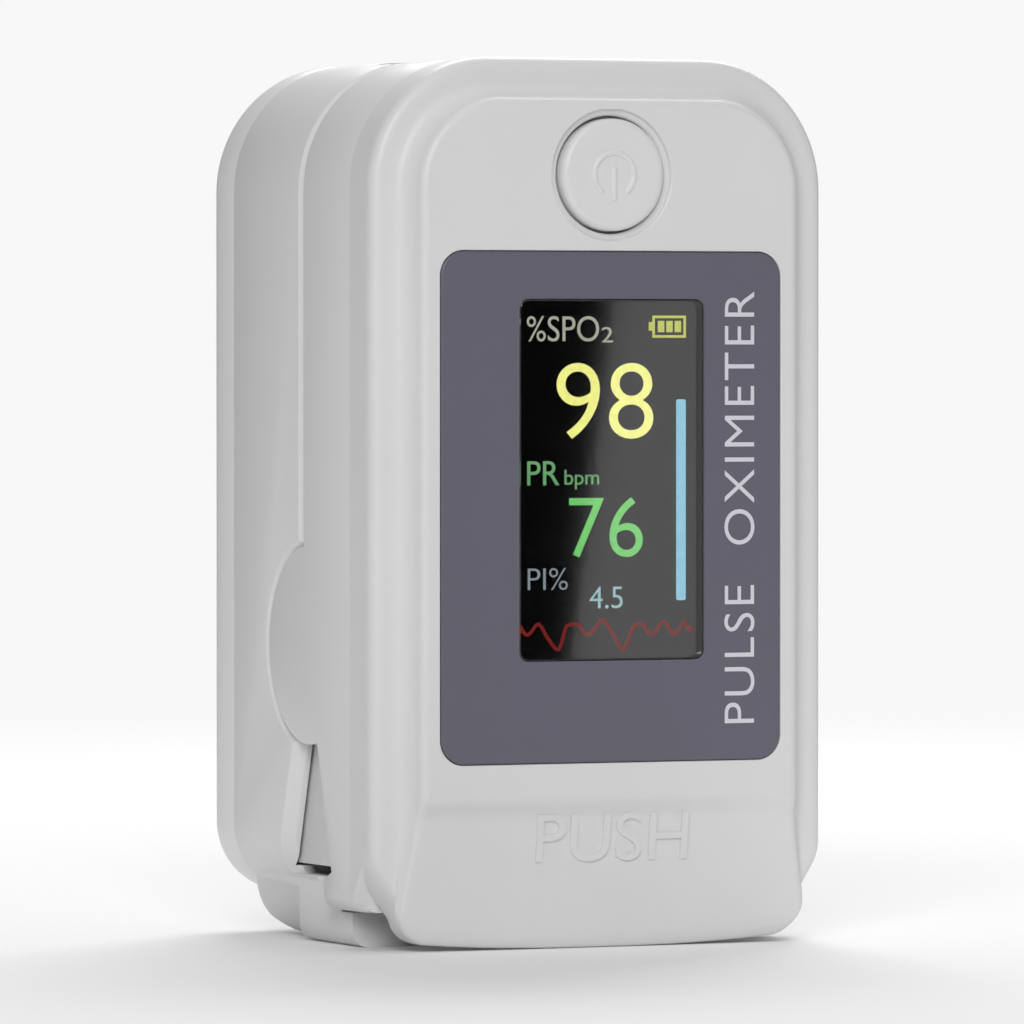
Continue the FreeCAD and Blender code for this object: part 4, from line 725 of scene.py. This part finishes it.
def makePad(name, sizes, node, body):
    p = padSizes
    away = 1.0 if sizes["floor"] > sizes["rim"] else -1.0
    base = abs(sizes["floor"] - sizes["rim"])
    start, turn = p["foot"] + p["wall"], np.linspace(0, math.pi / 2, 8)
    # each station up the pad: height, share of the channel's depth, share of the mouth's flare
    stations = [(p["foot"], 0, 0), (start - 0.3, 0, 0), (start - 0.1, 0.03, 0), (start, 0.12, 0),
                (start + 0.04, 0.4, 0)]
    stations += [(start + 0.05 + p["fillet"] * (1 - math.cos(a)), 0.7 + 0.3 * math.sin(a), 0) for a in turn]
    stations += [(z, 1, 0) for z in np.linspace(start + 2.5, 57.0, 12)]
    stations += [(57.0 + t * (p["top"] - 57.0), 1, t ** 2.5) for t in np.linspace(0.1, 1, 12)]
    rows, walls = [], []
    for z, depthShare, flare in stations:
        narrow = smoothStep(p["shoulder"] - 0.12, p["shoulder"] + 0.12, z)
        half = p["half"] + (p["mouthHalf"] - p["half"]) * narrow
        s = np.linspace(-1, 1, 81)
        x = (0.55 * s + 0.45 * np.sin(s * math.pi / 2)) * (half - p["edge"])
        deep = channelDepth(x / (1 + 0.03 * flare), sizes) * depthShare
        deep = deep + p["flare"] * flare * (1 - smoothStep(8.2, 9.3, np.abs(x)))
        wallX, wallDeep = padWall(half, base)
        rows.append(np.column_stack([x, sizes["rim"] + away * deep, np.full(81, z)]))
        walls.append(np.column_stack([wallX, sizes["rim"] + away * wallDeep, np.full(81, z)]))
    work = Patchwork()
    work.grid([np.vstack([row, wall[::-1]]) for row, wall in zip(rows, walls)])
    work.grid([rows[0], walls[0]], closed=False)
    work.grid([rows[-1], walls[-1]], closed=False)
    makePiece(name, work, mouldedSilicone, body, node, 40)


def makeLens(name, sizes, node, body):
    # a clear cushion set in the channel's floor, domed by a quarter ellipse
    s = lensSizes
    away = 1.0 if sizes["floor"] > sizes["rim"] else -1.0
    level = sizes["rim"] + away * (channelDepth(np.array([s["half"]]), sizes)[0] - s["proud"])
    work = Patchwork()
    rings = [ring(roundedOutline(s["half"], s["low"], s["high"], s["radius"], s["radius"], 12, 20, 8),
                  sizes["floor"] - away * 0.02)]
    for a in np.linspace(0, 1.35, 8):
        inset = 0.9 * (1 - math.cos(a))
        corner = max(s["radius"] - inset, 0.2)
        outline = roundedOutline(s["half"] - inset, s["low"] + inset, s["high"] - inset, corner, corner, 12, 20, 8)
        rings.append(ring(outline, level + away * 0.1 - away * 0.22 * math.sin(a)))
    work.grid(rings)
    work.cap(rings[0])
    work.cap(rings[-1])
    makePiece(name, work, clearEpoxy, body, node, 40)


makePad("upperPadCushion", upperPadSizes, "upper_finger_pad", "display_unit")
makePad("lowerPadCushion", lowerPadSizes, "lower_finger_pad", "battery_unit")
makeLens("receiverLens", upperPadSizes, "receiver_window", "display_unit")
makeLens("emitterLens", lowerPadSizes, "emitter_window", "battery_unit")
print("finger pads and lenses made")

# stage: floor that fades out, lights and camera
studio = {"backdrop": "#F8F8F8", "floor": "#F6F6F6", "floorRadius": 900.0, "fadeStart": 90.0, "fadeEnd": 430.0,
          "floorGlow": 0.06, "fill": 0.24}


def makeFloor():
    angle = np.arange(96) / 96 * 2 * math.pi
    radii = np.linspace(1, studio["floorRadius"], 24)
    points = [np.column_stack([r * np.cos(angle), r * np.sin(angle), np.zeros(96)]) for r in radii]
    work = Patchwork()
    work.grid(points)
    work.cap(points[0])
    mesh = bpy.data.meshes.new("studioFloor")
    mesh.from_pydata((np.vstack(work.points) * mm).tolist(), [], work.faces)
    floor = bpy.data.objects.new("studioFloor", mesh)
    bpy.context.scene.collection.objects.link(floor)
    # matt paper that dissolves into the backdrop away from the object
    paper = bpy.data.materials.new("mattPaper")
    paper.use_nodes = True
    paper.node_tree.nodes.clear()
    place = addNode(paper, "ShaderNodeTexCoord").outputs["Object"]
    far = addNode(paper, "ShaderNodeVectorMath", {"operation": "LENGTH"}, {0: place}).outputs["Value"]
    fade = addNode(paper, "ShaderNodeMapRange", {"From Min": studio["fadeStart"] * mm,
                   "From Max": studio["fadeEnd"] * mm, "interpolation_type": "SMOOTHSTEP"}, {"Value": far})
    matt = addNode(paper, "ShaderNodeBsdfDiffuse", {"Color": paint(studio["floor"])})
    # the paper's own glow is only for the eye, so it lights nothing
    seen = addNode(paper, "ShaderNodeLightPath").outputs["Is Camera Ray"]
    level = addNode(paper, "ShaderNodeMath", {"operation": "MULTIPLY", 1: studio["floorGlow"]}, {0: seen})
    lift = addNode(paper, "ShaderNodeEmission", {"Color": (1, 1, 1, 1)}, {"Strength": level.outputs[0]})
    lifted = addNode(paper, "ShaderNodeAddShader", {}, {0: matt.outputs[0], 1: lift.outputs[0]})
    clear = addNode(paper, "ShaderNodeBsdfTransparent")
    both = addNode(paper, "ShaderNodeMixShader", {},
                   {0: fade.outputs[0], 1: lifted.outputs[0], 2: clear.outputs[0]})
    addNode(paper, "ShaderNodeOutputMaterial", {}, {"Surface": both.outputs[0]})
    mesh.materials.append(paper)


def aim(item, place, target):
    item.location = Vector(place) * mm
    item.rotation_mode = "QUATERNION"
    item.rotation_quaternion = (Vector(target) - Vector(place)).to_track_quat("-Z", "Y")


def areaLight(name, place, width, height, power, target=(0, 0, 30)):
    light = bpy.data.lights.new(name, "AREA")
    light.shape = "RECTANGLE"
    light.size, light.size_y = width * mm, height * mm
    light.energy = power
    item = bpy.data.objects.new(name, light)
    bpy.context.scene.collection.objects.link(item)
    aim(item, place, target)
    return item


makeFloor()
world = bpy.data.worlds.new("whiteRoom")
bpy.context.scene.world = world
world.use_nodes = True
world.node_tree.nodes.clear()
seen = addNode(world, "ShaderNodeBackground", {"Color": paint(studio["backdrop"]), "Strength": 1.0})
lit = addNode(world, "ShaderNodeBackground", {"Color": (1, 1, 1, 1), "Strength": studio["fill"]})
path = addNode(world, "ShaderNodeLightPath")
mixed = addNode(world, "ShaderNodeMixShader", {}, {0: path.outputs["Is Camera Ray"], 1: lit.outputs[0],
                2: seen.outputs[0]})
addNode(world, "ShaderNodeOutputWorld", {}, {"Surface": mixed.outputs[0]})
areaLight("softKey", (-300, -540, 320), 300, 300, 1.85)
areaLight("topFill", (60, -60, 520), 500, 500, 0.5)
# from behind: whitens the table and leaves a soft shadow towards the front, and its bounce lifts the tail
areaLight("tableWash", (200, 330, 420), 320, 320, 1.85)


def reflectionCard(name, corners, strength):
    # a card that only polished surfaces see: four corners in x, y and z
    mesh = bpy.data.meshes.new(name)
    mesh.from_pydata((np.array(corners) * mm).tolist(), [], [(0, 1, 2, 3)])
    card = bpy.data.objects.new(name, mesh)
    bpy.context.scene.collection.objects.link(card)
    cardLight = bpy.data.materials.new(name)
    cardLight.use_nodes = True
    cardLight.node_tree.nodes.clear()
    shine = addNode(cardLight, "ShaderNodeEmission", {"Color": (1, 1, 1, 1), "Strength": strength})
    addNode(cardLight, "ShaderNodeOutputMaterial", {}, {"Surface": shine.outputs[0]})
    mesh.materials.append(cardLight)
    card.visible_camera = card.visible_diffuse = card.visible_shadow = False


# the window mirrors a bright card with a slanted edge, and a dark one beside it
cardDepth, edgeFoot, edgeTop = -567.7, 250.0, 274.0
reflectionCard("brightCard", [(edgeFoot, cardDepth, -60), (380, cardDepth, -60), (380, cardDepth, 130),
                              (edgeTop, cardDepth, 130)], 1.1)
reflectionCard("darkCard", [(120, cardDepth, -60), (edgeFoot, cardDepth, -60), (edgeTop, cardDepth, 130),
                            (120, cardDepth, 130)], 0.0)

camera = bpy.data.objects.new("studioCamera", bpy.data.cameras.new("studioCamera"))
bpy.context.scene.collection.objects.link(camera)
cameraPlace = Vector((-263.4, -567.7, 40.8))
aimPoint = Vector((0, 0.4, 30))
ahead = (aimPoint - cameraPlace).normalized()
rightward = ahead.cross(Vector((0, 0, 1))).normalized()
upward = rightward.cross(ahead)
aim(camera, cameraPlace, aimPoint - rightward * 0.245 - upward * 0.35)
camera.data.lens = 314.7
camera.data.sensor_width = 36.0
camera.data.clip_start, camera.data.clip_end = 0.01, 20.0
bpy.context.scene.camera = camera
bpy.context.scene.view_settings.view_transform = "Standard"
print("stage, lights and camera set")
